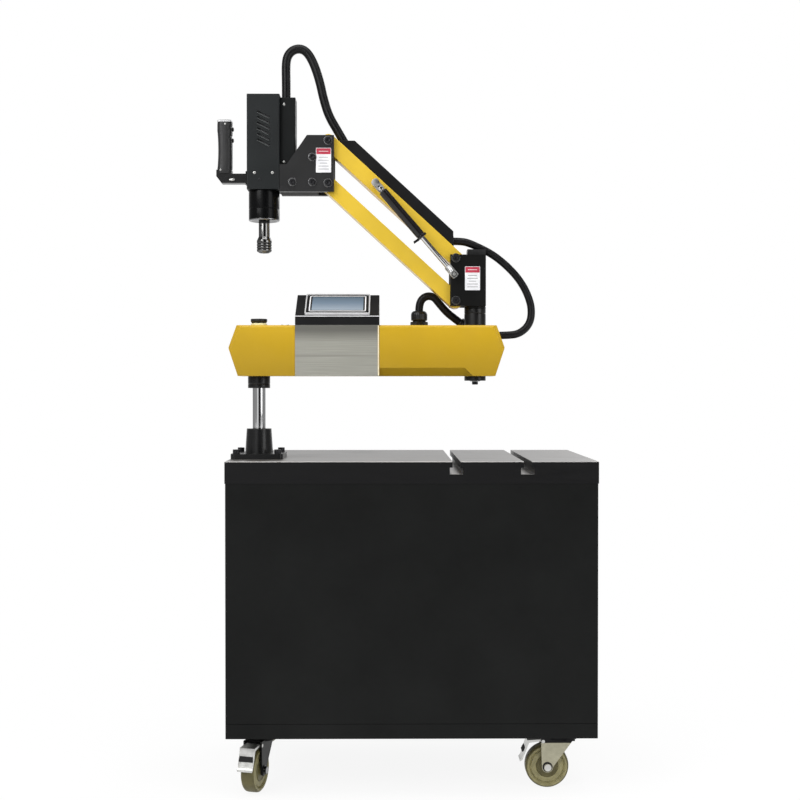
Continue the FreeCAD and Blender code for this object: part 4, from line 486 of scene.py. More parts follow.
def ground_top(name):
    """Worktop: ground steel on top and in the slots, black paint on its outer sides and underside. A face is
    painted where its normal isn't upwards and it lies on the slab's outside. In the slots, faces that look up
    carry a painted highlight and the walls a painted shade."""
    steel, skin, underside = (0.30, 0.292, 0.286), 0.4 * MM, 4 * MM
    look = Look(name, steel, 0.36, metallic=0.85, specular=0.16)
    streaks = look.noise(60, (0.12, 6, 1), detail=6, roughness=0.65)
    fine = look.noise(420, (0.05, 1, 1), detail=2)
    blotches = look.noise(5.5, (1, 1.6, 1), detail=6, roughness=0.62)
    ground = look.mixed(streaks, tinted(steel, 0.78), tinted(steel, 1.2))
    ground = look.mixed(blotches, ground, tinted(steel, 0.72), 0.52, 0.8)
    up, at = look.parts("Normal")["Z"], look.parts("Object")
    low, high = span("worktop")
    outer = look.maths("LESS_THAN", at["Z"], low[2] + underside)
    for axis, first, last in zip("XY", low, high):
        from_middle = look.maths("ABSOLUTE", look.maths("SUBTRACT", at[axis], (first + last) / 2))
        at_side = look.maths("GREATER_THAN", from_middle, (last - first) / 2 - skin)
        outer = look.maths("MAXIMUM", outer, at_side)
    in_slot = look.maths("LESS_THAN", at["Z"], high[2] - 2 * skin)
    # Painted light and shade in the slots: steel 1.8 times lighter on faces that look up, 0.3 times on the
    # walls.
    slot = look.mixed(up, tinted(steel, 0.3), tinted(steel, 1.8), 0.4, 0.6)
    ground = look.mixed(in_slot, ground, slot, 0.4, 0.6)
    coated = look.maths("MULTIPLY", outer, look.maths("LESS_THAN", up, 0.5))
    look.paint(look.mixed(coated, ground, BLACK, 0.4, 0.6))
    look.join(look.maths("SUBTRACT", 1.0, coated), look.shader.inputs["Metallic"])
    look.rough(look.between(streaks, 0.3, 0.5))
    return look.bump(fine, 0.3, 0.00005)


def yellow_arm(name):
    """The lower arm's yellow, darkened towards its underside by painted shade."""
    colour = (0.54, 0.335, 0.009)
    look = painted(name, colour, 0.36, 0.04, 380, 0.0003, 0.35, 0.05)
    low, high = span("arm_housing")
    # Painted shade: the yellow darkens from its top down to 20 mm under the underside.
    shaded_low = float(low[2]) - 20 * MM
    height = look.parts("Object")["Z"]
    return look.paint(look.mixed(height, tinted(colour, 0.62), look.painted_by(), shaded_low, float(high[2])))


def caster_zinc(name):
    """Yellowish zinc on a fork's legs; its crown is painted black as the shade under the cabinet."""
    look = machined(name, (0.44, 0.42, 0.31), 0.36, (1, 1, 1), 60, metallic=0.7, spread=0.16)
    shaded_crown_depth, blur = 17 * MM, 0.5 * MM
    # Painted shade: black over the top of the fork, where the cabinet shades it.
    crown = float(span("caster_fork_fr")[1][2]) - shaded_crown_depth
    height = look.parts("Object")["Z"]
    return look.paint(look.mixed(height, look.painted_by(), BLACK, crown - blur, crown + blur))


def brushed_sheet(name):
    """Stainless sheet brushed along its length, with a few darker drawn lines and the console's painted
    shadow as a darker band on top.
    """
    colour = (0.39, 0.386, 0.34)
    look = Look(name, colour, 0.38, metallic=0.45)
    brushing = look.noise(420, (0.02, 1, 1.6), detail=3)
    bands = look.noise(90, (0.01, 1, 1), detail=1)
    lines = look.mixed(brushing, tinted(colour, 0.86), tinted(colour, 1.12))
    lines = look.mixed(bands, tinted(colour, 0.82), lines, 0.34, 0.42)
    top = span("front_panel")[1][2]
    # Painted shadow of the console: the top of the sheet darkens towards its upper edge.
    shadow_from, shadow_to = top - 40 * MM, top - 12 * MM
    look.paint(look.mixed(look.parts("Object")["Z"], lines, tinted(colour, 0.42), shadow_from, shadow_to))
    look.rough(look.between(brushing, 0.3, 0.46))
    return look.bump(brushing, 0.3, 0.00003)


def polished(name, colour, roughness):
    """Ground and polished round steel: a clean mirror with faint changes of tone and gloss along it."""
    look = Look(name, colour, roughness, metallic=1.0)
    # The dark specular tint dims grazing reflections: a painted reflection of dark surroundings at the rims.
    look.shader.inputs["Specular Tint"].default_value = (0.35, 0.35, 0.36, 1)
    tone = look.noise(35, (1, 1, 0.25), detail=4)
    look.paint(look.mixed(tone, tinted(colour, 0.93), tinted(colour, 1.07)))
    return look.rough(look.between(tone, roughness - 0.02, roughness + 0.04))


def cast_nylon(name, colour):
    """Cream-brown wheel nylon: mottled, waxy and a little scuffed."""
    look = Look(name, colour, 0.5)
    look.shader.inputs["Subsurface Weight"].default_value = 0.06
    look.shader.inputs["Subsurface Radius"].default_value = (0.004, 0.003, 0.001)
    mottle = look.noise(55, detail=6)
    scuffs = look.noise(240, (1, 1, 0.3), detail=4)
    colours = look.mixed(mottle, tinted(colour, 0.78), tinted(colour, 1.18))
    look.paint(look.mixed(scuffs, colours, tinted(colour, 0.55), 0.62, 0.8))
    look.rough(look.between(scuffs, 0.42, 0.62))
    return look.bump(mottle, 0.2, 0.0003)


def moulded(name, colour, roughness=0.5, grain=900.0, depth=0.0001):
    """Moulded plastic or rubber: a fine leathery grain and soft gloss changes."""
    look = Look(name, colour, roughness)
    cells = look.node("TexVoronoi", {"Vector": look.place["Object"]}, Scale=grain).outputs["Distance"]
    wear = look.noise(30, detail=5)
    look.paint(look.mixed(wear, colour, tinted(colour, 1.7), 0.45, 0.8))
    look.rough(look.between(wear, roughness - 0.08, roughness + 0.08))
    return look.bump(cells, 0.3, depth)


def hose_sheath(name):
    """Glossy black sheath; its rings are modelled, so only scuffs and haze are added along its length."""
    colour = (0.005, 0.005, 0.0055)
    look = Look(name, colour, 0.3, specular=0.2)
    haze = look.noise(40, detail=5)
    look.paint(look.mixed(haze, colour, tinted(colour, 2.2), 0.45, 0.85))
    look.rough(look.between(haze, 0.22, 0.42))
    return look.bump(look.noise(700, detail=2), 0.2, 0.0001)


def display(name):
    """Unlit screen under glass: blue-grey, with a painted reflection that pales towards its lower edge."""
    look = Look(name, (0.2, 0.27, 0.36), 0.14, specular=0.25)
    height = look.parts("Object")["Z"]
    bottom, top = (float(corner[2]) for corner in span("display_screen"))
    halfway = (bottom + top) / 2 + 3 * MM
    # Painted reflection: dark at the top, paling from the middle down.
    upper = look.mixed(height, (0.14, 0.19, 0.25), (0.085, 0.122, 0.16), halfway, top)
    look.paint(look.mixed(height, (0.31, 0.36, 0.41), upper, bottom, halfway))
    return look.rough(look.between(look.noise(18, detail=4), 0.1, 0.2))


LOOKS = {look.name: look.material for look in (
    ground_top("ground_steel"),
    painted("cabinet_black", (0.0065, 0.0069, 0.0067), 0.42, 0.0, 700, 0.00015, 0.13, 0.2),
    machined("zinc", (0.62, 0.62, 0.6), 0.34, (1, 1, 1), 60, spread=0.16),
    painted("black_steel", BLACK, 0.3, 0.1, 500, specular=0.3),
    machined("black_oxide", (0.03, 0.03, 0.033), 0.34, (1, 1, 1), 150, metallic=0.8),
    polished("chrome", (0.66, 0.66, 0.665), 0.09),
    moulded("black_plastic", BLACK, 0.38),
    yellow_arm("yellow_casting"),
    brushed_sheet("stainless"),
    painted("console_black", (0.009, 0.009, 0.0095), 0.4, 0.0, 600, 0.0002, 0.14, 0.2),
    machined("silver_frame", (0.62, 0.62, 0.63), 0.4, (1, 30, 1), 200, metallic=0.25),
    display("screen"),
    moulded("cream_bush", (0.72, 0.62, 0.34), 0.4, 500),
    machined("bearing_steel", (0.5, 0.5, 0.5), 0.22),
    painted("unit_grey", (0.12, 0.12, 0.125), 0.5, 0.0, 800),
    painted("bracket_black", (0.016, 0.016, 0.0165), 0.36, 0.0, 260, 0.0005, 0.3, 0.25),
    # The links' yellow is a lighter copy of the arm's yellow paint: painted light.
    painted("yellow_link", (0.67, 0.45, 0.028), 0.34, 0.2, 420, 0.0002, spread=0.06),
    painted("gas_black", (0.008, 0.007, 0.0075), 0.22, 0.3, 300, 0.0001, 0.3),
    painted("head_black", (0.0095, 0.0115, 0.0122), 0.42, 0.0, 420, 0.0003, 0.25, 0.2),
    painted("cover_black", (0.005, 0.006, 0.0062), 0.4, 0.0, 420, 0.0002, 0.18, 0.2),
    painted("rear_black", (0.006, 0.006, 0.0058), 0.38, 0.0, 260, 0.0004, 0.15, 0.2),
    painted("spindle_black", (0.003, 0.003, 0.0033), 0.22, 0.0, 200, 0.00003, 0.12),
    polished("chuck_steel", (0.2, 0.2, 0.196), 0.15),
    moulded("grip_rubber", (0.014, 0.014, 0.0145), 0.5, 700, 0.0002),
    cast_nylon("wheel_nylon", (0.1, 0.086, 0.026)),
    cast_nylon("nylon_pale", (0.27, 0.243, 0.115)),
    caster_zinc("caster_zinc"),
    hose_sheath("hose_black"),
    moulded("label_white", (0.72, 0.72, 0.74), 0.4, 1200, 0.00002),
    moulded("label_red", (0.42, 0.03, 0.06), 0.4, 1200, 0.00002),
    moulded("label_grey", (0.16, 0.16, 0.17), 0.4, 1200, 0.00002),
    moulded("cream_edge", (0.78, 0.66, 0.42), 0.5, 1200, 0.00002),
    # A lighter copy of the head's black for the vent lips: painted highlight.
    painted("vent_edge_highlight", (0.05, 0.055, 0.055), 0.3, 0.0, 420, 0.0001, 0.5),
    # Near black stand-in for shade: painted shade in bores, holes, grooves and under parts.
    moulded("shade_black", (0.006, 0.006, 0.006), 0.8),
    machined("bolt_rim", (0.27, 0.27, 0.275), 0.24, spread=0.05),
)}


# Worktop and cabinet

def worktop_and_cabinet():
    for node, edge in (("worktop", 0.8), ("cabinet_shell", 1.2), ("base_frame", 1.0), ("rear_panel", 0.5)):
        dressed(node, edge)
    low, high = span("rear_panel")
    louvre_hoods(low, high)
    panel_screws(low, high)


def louvre_hoods(low, high):
    """Pressed hoods over the panel's slots, in two columns. A hood's proudness is a half sine along it to the
    power 0.35, times a half sine up it to the power 0.7."""
    rows, length, rise, pitch, first = 6, 124, 9.0, 18.0, 54.0
    proud, sunk, base = 2.2, 0.2, 0.4
    u = np.linspace(0, math.pi, 24)[:, None]
    v = np.linspace(0, math.pi, 9)[None, :]
    crown = np.sin(u) ** 0.35 * np.sin(v) ** 0.7
    face = high[1]
    hoods = []
    for side in (-1, 1):
        x = (low[0] + high[0]) / 2 + side * (high[0] - low[0]) / 4
        for k in range(rows):
            z = high[2] - (first + k * pitch) * MM
            shell = np.stack([x - np.cos(u) * length / 2 * MM * np.ones_like(v),
                              face + (crown * proud - sunk) * MM,
                              z - np.cos(v) * rise / 2 * MM * np.ones_like(u)], -1)
            under = shell.copy()
            under[..., 1] = face - base * MM
            hoods.append(surface(np.concatenate([shell, under[:, ::-1]], axis=1)))
    piece("louvre_hoods", joined(hoods), "rear_panel")


def panel_screws(low, high):
    """Button heads with hexagon sockets, three along the rear panel's top and three along its bottom."""
    inset, socket_r = 14 * MM, 1.65
    button = [(5.5, 0), (5.5, 0.8), (3.8, 2.2), (1.9, 2.5), (1.6, 2.4), (1.6, 1.0), (0, 1.0)]

    def lobes(t, radius, h):
        return np.where(radius <= socket_r, hexagonal(t), 1.0)
    heads = [turned(button, (x, high[1], z), Y, 36, lobes=lobes)
             for x in (low[0] + inset, (low[0] + high[0]) / 2, high[0] - inset)
             for z in (low[2] + inset, high[2] - inset)]
    piece("panel_screw_heads", joined(heads), "panel_screws", instead=True)


# Column

SHAFT_R = 15
SHAFT_GAP = 0.05


def column():
    x, y, _ = middle("column_shaft")
    dressed("column_flange", 1.0)
    flange_screws(x, y)
    foot, length = standing("column_shaft", x, y)
    piece("column_tube", rod(SHAFT_R, 0, length, foot, Z, 96, 0.6), "column_shaft", instead=True)
    thrust_collar(x, y)
    cap_knob(x, y)
    dressed("column_bushes", 0.6)


def flange_screws(x, y):
    """A knurled cap screw at each corner of the flange."""
    head_r, head_height, plate = 8.0, 10.0, 12
    low, high = span("flange_bolts")
    reach = (high[0] - low[0]) / 2 - head_r * MM
    seat = span("column_flange")[0][2] + plate * MM
    for i, (sx, sy) in enumerate(((-1, -1), (1, -1), (-1, 1), (1, 1))):
        socket_head(f"flange_screw_{i}", (x + sx * reach, y + sy * reach, seat), Z, head_r, head_height,
                    "flange_bolts", instead=i == 0, knurls=28)


def thrust_collar(x, y):
    """Collar with a groove turned a third of the way up, and two set screws towards the front."""
    outer_r, groove_r, set_r = 26, 25.2, 25.0
    foot, rise = standing("column_collar", x, y)
    inner_r = SHAFT_R + SHAFT_GAP
    section = [(inner_r, 0), (outer_r, 0), (outer_r, rise * 0.3), (groove_r, rise * 0.34),
               (outer_r, rise * 0.38), (outer_r, rise), (inner_r, rise)]
    piece("collar_ring", hollow(section, 1.0, foot), "column_collar", instead=True)
    for k, turn in enumerate((-0.35, 0.35)):
        out = unit((math.sin(turn), -math.cos(turn), 0))
        place = foot + (Z * rise * 0.66 + out * set_r) * MM
        socket_head(f"collar_screw_{k}", place, out, 3.4, 1.8, "column_collar", "black_oxide")


def cap_knob(x, y):
    """Cap with a stepped foot, a dished top and a rim that ripples 30 times."""
    foot_r, rim_r, dish, ripples = 16.3, 19.2, 1.2, 30
    foot, height = standing("column_cap", x, y)
    profile = [(0, 1.0), (14.5, 1.0), (14.5, 0), (foot_r, 0), (rim_r, height * 0.38), (rim_r, height),
               (9, height), (8.2, height - dish), (0, height - dish)]
    lobes = beyond(rim_r - 0.6, lambda t: 1 + 0.012 * np.cos(ripples * t))
    piece("cap_knob", turned(profile, foot, Z, 120, corner=0.8, lobes=lobes), "column_cap", instead=True)


# Lower arm

def lower_arm():
    dressed("arm_housing", 1.6)
    dressed("front_panel", 0.4)
    panel_tape()
    dressed("switch_frame", 0.5)
    dressed("power_rocker", 0.4)
    console()
    glands()
    elbow_tube()
    finish_only("elbow_bearings", "elbow_shaft", "control_unit")


def panel_tape():
    """Cream tape down the front panel's right edge."""
    low, high = span("front_panel")
    face = low[1] - 0.25 * MM
    left, right = high[0] - 3.2 * MM, high[0] - 0.6 * MM
    bottom, top = low[2] + 1 * MM, high[2] - 1 * MM
    corners = [(left, face, bottom), (right, face, bottom), (right, face, top), (left, face, top)]
    piece("panel_edge_tape", outline_plate(corners, 0, 0.3), "front_panel", "cream_edge")


SKIRT = 20
SLOPE_RUN, SLOPE_RISE = 85, 55
DISPLAY_WIDTH, DISPLAY_HEIGHT = 151, 92


def console():
    """Console casing, with the display's frame, dark border, white line and glass on the middle of its slope:
    a skirt stands under a face that runs back and up."""
    dressed("console_housing", 1.2)
    low, high = span("console_housing")
    right, up = X, unit((0, SLOPE_RUN, SLOPE_RISE))
    fold = low[2] + SKIRT * MM
    centre = np.array(((low[0] + high[0]) / 2, low[1] + SLOPE_RUN / 2 * MM, (fold + high[2]) / 2))
    lip = [(0, 0), (0, 5.4), (-0.7, 6.0), (-2.6, 6.0), (-3.2, 5.4), (-3.2, 0.5)]
    border = [(-3.2, 4.2), (-3.2, 5.2), (-16.5, 5.2), (-16.5, 4.2)]
    line = [(-9.4, 5.0), (-9.4, 5.6), (-12.0, 5.6), (-12.0, 5.0)]
    for name, section, edge, radius, look in (("display_frame", lip, 0.5, 4, None),
                                              ("display_border", border, 0.2, 17, "console_black"),
                                              ("display_line", line, 0.2, 13, "label_white")):
        strip = framed(closed_loop(section, edge), DISPLAY_WIDTH, DISPLAY_HEIGHT, radius, centre, right, up)
        piece(name, strip, "display_bezel", look, instead=look is None)
    glass = laid(rounded_rectangle(DISPLAY_WIDTH - 31.4, DISPLAY_HEIGHT - 30, 1.2), centre, right, up)
    pane = outline_plate(glass, 3.0, 5.35, np.cross(right, up))
    piece("display_glass", pane, "display_screen", instead=True)
    # A white rod along the fold: a painted highlight on the fold's edge.
    bead_r = 1.3
    bead = rod(bead_r, low[0] / MM, high[0] / MM, (0, low[1] + bead_r * MM, fold), X, 24, 0.4)
    piece("console_highlight_bead", bead, "console_housing", "label_white")


def glands():
    """Domed gland on a hexagon foot, slanting gland, and grommet in the arm's end, each at a hose's end."""
    dome_height, foot_r, grip_r = 38, 21, 19.5
    base = np.array(GLAND_HOSE[0]) - Z * dome_height * MM
    foot = turned([(foot_r, 0), (foot_r, 11), (19.4, 12), (0, 12)], base, Z, 72, lobes=beyond(20, hexagonal))
    dome = [(0, 12), (15.5, 12), (15.5, 15), (18.6, 15), (grip_r, 17), (grip_r, 30), (17.5, 35), (14, 37.6),
            (10.2, dome_height), (9.4, 36.5), (0, 36.5)]
    lobes = beyond(18.9, lambda t: 1 - 0.022 * np.maximum(0, np.cos(18 * t)))
    grips = turned(dome, base, Z, 144, corner=1.2, lobes=lobes)
    piece("domed_gland", joined([foot, grips]), "hose_glands", instead=True, crease=40)
    last, before = np.array(GLAND_HOSE[-1]), np.array(GLAND_HOSE[-2])
    collar = [(0, 0), (11.5, 0), (13, 1.2), (13, 5), (12.2, 5.6), (12.2, 7), (13, 7.6), (13, 33), (0, 33)]
    piece("slanting_gland", turned(collar, last, last - before, 64, corner=0.6), "hose_glands")
    grommet = [(0, 0), (10.5, 0), (12.5, 1.8), (12.5, 4.4), (11.6, 5.2), (11.6, 19), (0, 19)]
    piece("end_grommet", turned(grommet, LOOP_HOSE[-1], -X, 64, corner=0.6), "hose_glands")


ELBOW_R = 25.25


def elbow_tube():
    """Bearing tube with a groove turned below its top."""
    x, y, _ = middle("elbow_shaft")
    foot, height = standing("elbow_housing", x, y)
    inner_r, groove_r = 21, 24.6
    tube = [(inner_r, 0), (ELBOW_R, 0), (ELBOW_R, height - 12), (groove_r, height - 11.4),
            (groove_r, height - 10.6), (ELBOW_R, height - 10), (ELBOW_R, height), (inner_r, height)]
    piece("elbow_tube", hollow(tube, 0.7, foot), "elbow_housing", instead=True)


# Elbow and upper arm

CHEEK_OUTER = 38.0
LABEL_WIDTH = 35


def swivel():
    """Rear bracket with its saddle, pins and label, and under the arm a disc held by a bolt."""
    dressed("rear_bracket", 1.6, "rear_black")
    dressed("hose_saddle", 1.5)
    x, y, _ = middle("elbow_shaft")
    top = span("elbow_cap")[1][2]
    disc, bolt_seat = 10.5, (x, y, top - 10.4 * MM)
    hexagon_head("elbow_bolt", bolt_seat, -Z, 7.0, 9.1, "elbow_cap", "black_oxide", True)
    piece("elbow_disc", rod(ELBOW_R, 0, disc, (x, y, top), -Z, 96, 1.6), "elbow_cap")
    piece("elbow_washer", rod(12, 0, 1.6, bolt_seat, -Z, 64, 0.5), "elbow_cap", "zinc")
    pivots("rear_pins", [joints["arm_lift"]["pos_m"], joints["lower_link_tilt"]["pos_m"]], "rear")
    low, high = span("rear_bracket")
    label("rear_label", low[0] + 34 * MM, high[2] - 83 * MM, 55, low[1], "rear_bracket")


def pivots(node, places, name):
    """Headed pivot pins, from cheek to cheek: a dished washer and a cap screw in front, a nut behind."""
    washer = [(0, 0), (10.4, 0), (10.4, 1.6), (8.6, 1.6), (0, 1.3)]
    pin_r, screw_r, nut_r, head_height, seat_rise = 6, 7.6, 9.4, 4.8, 1.2
    for k, place in enumerate(places):
        for sign, side in ((-1, "front"), (1, "back")):
            out = sign * Y
            face = np.array(place) + out * CHEEK_OUTER * MM
            seat = face + out * seat_rise * MM
            piece(f"{name}_washer_{side}_{k}", turned(washer, face, out, 64, corner=1.1), node, "bolt_rim")
            if sign < 0:
                socket_head(f"{name}_pivot_{k}", seat, out, screw_r, head_height, node, instead=k == 0)
            else:
                hexagon_head(f"{name}_nut_{k}", seat, out, nut_r, head_height, node)
        piece(f"{name}_pin_{k}", rod(pin_r, -CHEEK_OUTER, CHEEK_OUTER, place, Y, 32), node)


def label(name, left, bottom, height, face, like):
    """A generic plate: white field, red header with a bar, and a plain grid of bars, on a front face."""
    width, header, edge = LABEL_WIDTH, height * 0.24, 1
    centre = np.array((left + width / 2 * MM, face, bottom + height / 2 * MM))
    header_z = (height - header) / 2 - edge

    def sheet_at(z, w, h, rise, radius):
        outline = laid(rounded_rectangle(w, h, radius), centre, X, Z) + Z * z * MM
        return outline_plate(outline, 0.05, -rise)
    piece(name + "_field", sheet_at(0, width, height, 0.35, 1.5), like, "label_white")
    piece(name + "_header", sheet_at(header_z, width - 2 * edge, header, 0.45, 0.8), like, "label_red")
    piece(name + "_header_bar", sheet_at(header_z, width * 0.62, 1.1, 0.5, 0.3), like, "label_white")
    bars = [sheet_at(-header / 2 + (k - 2) * height * 0.12, width * share, 1.2, 0.45, 0.4)
            for k, share in enumerate((0.7, 0.7, 0.5, 0.7, 0.6))]
    piece(name + "_bars", joined(bars), like, "label_grey")


def links():
    dressed("upper_link", 1.2)
    dressed("lower_link", 1.2)
    dressed("cable_duct", 1.6)
    section = [(9.2, -1.0), (12.4, -1.0), (12.4, 1.0), (9.2, 1.6)]
    piece("duct_grommet", hollow(section, 0.8, BRIDGE_HOSE[0], X, 64), "cable_duct", "black_plastic")


EYE_R = 8
EYE_HALF = 5
ROD_R = 5.5
FERRULE = 24


def gas_spring():
    """Cylinder and rod, turned along the line between the upper eye and the lower stud."""
    top = np.array(joints["gas_tilt"]["pos_m"])
    way = np.array(joints["gas_stroke"]["axis"])
    down = np.cross(way, Y)
    low, high = span("gas_rod")
    eye = np.array((high[0] - EYE_R * MM, top[1], low[2] + EYE_R * MM))
    length = float(np.linalg.norm(eye - top)) / MM
    gas_cylinder(top, way, down)
    gas_rod(top, way, length)
    foot = top + way * length * MM
    hole = top + way * 15 * MM
    clevis("gas_cylinder", "top", top, way, hole, 4.4)
    clevis("gas_rod", "low", foot, -way, foot, 6.0)
    gas_studs(top, hole, foot)


def gas_cylinder(top, way, down):
    """Eye, stepped neck, cylinder with a collar at its mouth, and the small release tab beside the mouth."""
    hole_r, neck_end, tube_r, mouth, mouth_end, collar_r = 4.05, 24, 10.5, 160, 166, 13
    piece("gas_top_eye", ring(hole_r, EYE_R, -EYE_HALF, EYE_HALF, top, Y, 48, 1.0), "gas_cylinder", "chrome")
    neck = [(0, 6), (5, 6), (5, 13), (7.5, 14), (7.5, 21), (6, 22), (6, neck_end), (0, neck_end)]
    piece("gas_top_neck", turned(neck, top, way, 48, corner=0.6), "gas_cylinder", "chrome")
    body = [(0, neck_end), (7, neck_end), (tube_r, 26.5), (tube_r, mouth - 2), (9.6, mouth - 1), (9.6, mouth),
            (collar_r, mouth + 0.5), (collar_r, mouth_end), (6, mouth_end), (5.7, mouth), (5.7, 45), (0, 45)]
    piece("gas_tube", turned(body, top, way, 64, corner=0.8), "gas_cylinder", instead=True)
    tab = np.array([(-tube_r, 0), (-22, -1.5), (-24, 3.5), (-tube_r, 5.5)])
    outline = laid(tab, top + way * (mouth + 1) * MM, down, way)
    piece("gas_tab", outline_plate(outline, -3, 3), "gas_cylinder", "black_steel")


def gas_rod(top, way, length):
    """Rod that stays in the cylinder at any stroke, and a ferrule whose thread is a cosine."""
    inside, pitch = 71, 1.5
    threads = np.arange(0, 16.01, 0.5)
    wave = 7.7 + 0.3 * np.cos(threads * math.pi * 2 / pitch)
    ferrule = [(0, length - FERRULE), *zip(wave, length - FERRULE + threads), (ROD_R, length - 7.5),
               (0, length - 7.5)]
    piece("gas_ferrule", turned(ferrule, top, way, 48), "gas_rod", crease=60)
    piece("gas_stem", rod(ROD_R, inside, length - 20, top, way, 48, 0.5), "gas_rod", instead=True)


def clevis(node, word, place, inward, hole, hole_r):
    """Pressed fork over an eye, as a plate with round corners, and a dark rod through it as painted shade for
    its bore.
    """
    length, width, half, bore_half = 31, 16, 5.6, 6.0
    outline = laid(rounded_rectangle(length, width, 2.5), place + inward * EYE_R * MM, inward,
                   np.cross(inward, Y))
    piece(f"gas_{word}_clevis", outline_plate(outline, -half, half), node, "zinc")
    piece(f"gas_{word}_clevis_bore_shade", rod(hole_r, -bore_half, bore_half, hole, Y, 32, 0.3), node, "shade_black")


def gas_studs(top, hole, foot):
    """The upper fork's pin, the cap on the upper link, and the lower eye with the stud that carries it."""
    piece("gas_top_clevis_pin", rod(2.2, -6.4, 6.4, hole, Y, 32, 0.4), "gas_cylinder", "zinc")
    cap_place = (top[0], span("upper_link")[0][1] - 0.3 * MM, top[2])
    piece("gas_top_cap", rod(9.0, 0, 3.0, cap_place, Y, 48, 0.6), "upper_link", "zinc")
    piece("gas_low_eye", rod(EYE_R, -EYE_HALF, EYE_HALF, foot, Y, 48, 1.0), "gas_rod")
    stud = [(0, -9), (4, -9), (4, EYE_HALF), (6.5, EYE_HALF), (6.5, 14.7), (0, 14.7)]
    piece("gas_low_stud", turned(stud, foot, Y, 48, corner=0.4), "gas_rod", "zinc")


# Tapping head

def tapping_head():
    dressed("front_bracket", 1.2)
    # The mount block takes the near-black look used for painted shade, in place of its paint, under the
    # bracket.
    dressed("head_mount_block", 1.0, "shade_black")
    dressed("head_housing", 0.9, holed=True)
    dressed("cable_cover", 0.9, "cover_black")
    finish_only("servo_motor")
    upper = np.array(joints["head_level"]["pos_m"])
    link_gap = joints["arm_lift"]["pos_m"][2] - joints["lower_link_tilt"]["pos_m"][2]
    lower = upper - Z * link_gap
    pivots("bracket_bolts", [upper, lower], "front")
    low, high = span("front_bracket")
    clamp_screws(upper[0], low, high)
    label("front_label", upper[0] - 28 * MM, lower[2] + 24 * MM, 57, low[1], "front_bracket")
    head_screws()
    vent_lips()
    spindle_barrel()
    tapping_chuck()
    release_sleeve()


def clamp_screws(pivot_x, low, high):
    """Three screws that clamp the head's block between the bracket's plates, each with a washer and a nut."""
    washer = [(0, 0), (9.8, 0), (9.8, 1.2), (8.0, 1.2), (0, 1.0)]
    for k, (left, rise) in enumerate(((82.5, 22.0), (36.5, 22.0), (36.5, 80.0))):
        place = np.array((pivot_x - left * MM, low[1], low[2] + rise * MM))
        piece(f"clamp_washer_{k}", turned(washer, place, -Y, 64, corner=0.9), "bracket_bolts", "bolt_rim")
        socket_head(f"clamp_screw_{k}", place - Y * 1.0 * MM, -Y, 7.0, 5.0, "bracket_bolts")
        hexagon_head(f"clamp_nut_{k}", (place[0], high[1], place[2]), Y, 8.6, 6.0, "bracket_bolts")


def head_screws():
    """Pan heads low on the casing's front, and near the top and bottom of the cable cover."""
    low = span("head_housing")[0]
    places = ((18.0, 37.6, "zinc"), (59.5, 37.6, "zinc"), (30.0, 22.5, "black_oxide"))
    for k, (x, z, look) in enumerate(places):
        place = np.array((low[0] + x * MM, low[1], low[2] + z * MM))
        pan_head(f"casing_screw_{k}", place, 3.2, 1.5, "head_housing", look)
    low, high = span("cable_cover")
    for k, drop in enumerate((16.0, 150.0)):
        place = np.array((low[0] + 9.2 * MM, low[1], high[2] - drop * MM))
        pan_head(f"cover_screw_{k}", place, 3.0, 1.5, "cable_cover", "zinc")


def vent_lips():
    """Pressed lips below the head's slanting vents, each an oval ridge along its slot that fades at its ends
    by the root of 1 less the sixth power of its length's share."""
    low, high = span("head_housing")
    rows, tilt, pitch, first, across_by, slot = 6, math.radians(27), 12.9, 47.7, 39.3, 4.0
    half_length, half_wide, proud, below = 17, 1.0, 1.5, 0.9
    along = np.array((math.cos(tilt), 0, -math.sin(tilt)))
    up = np.array((math.sin(tilt), 0, math.cos(tilt)))
    u = np.linspace(-1, 1, 26)[:, None]
    v = np.linspace(0, 2 * math.pi, 14, endpoint=False)[None, :]
    fade = np.sqrt(np.clip(1 - u ** 6, 0, 1))
    lips = []
    for face, out in ((low[1], -Y), (high[1], Y)):
        for k in range(rows):
            vent = np.array((low[0] + across_by * MM, face, high[2] - (first + k * pitch) * MM))
            lips.append(surface(vent - up * (slot / 2 + below) * MM
                                + (u[..., None] * half_length * along
                                   + (np.cos(v) * half_wide * fade)[..., None] * up
                                   + (np.sin(v) * proud * fade)[..., None] * out) * MM))
    # The lips are painted lighter than the casing, as a painted highlight.
    piece("vent_lips", joined(lips), "head_housing", "vent_edge_highlight")


SPINDLE_GAP_R = 12.1
BARREL_R = 36
BARREL_WALL_R = 33


def spindle_barrel():
    """Round bearing housing under the head, with a turned groove and a bright lower rim."""
    x, y, _ = middle("spindle_chuck")
    bottom = span("spindle_housing")[0][2]
    drop = (span("head_housing")[0][2] - bottom) / MM
    groove_r, groove, sunk = 35.2, 27.2, 40
    section = [(SPINDLE_GAP_R, 0), (BARREL_WALL_R, 0), (35.6, 1.6), (BARREL_R, 3.5), (BARREL_R, groove - 0.6),
               (groove_r, groove), (groove_r, groove + 0.6), (BARREL_R, groove + 1.2), (BARREL_R, drop),
               (BARREL_WALL_R, drop), (BARREL_WALL_R, drop + sunk), (SPINDLE_GAP_R, drop + sunk)]
    place = (x, y, bottom)
    piece("spindle_barrel", hollow(section, 0.5, place, Z, 128), "spindle_housing", instead=True)
    rim = [(30.5, -0.1), (34.4, 0.0), (35.9, 1.5), (36.15, 3.4), (35.4, 3.4), (33, 0.6), (30.5, 0.4)]
    piece("barrel_rim", hollow(rim, 0.2, place, Z, 128), "spindle_housing", "bolt_rim")


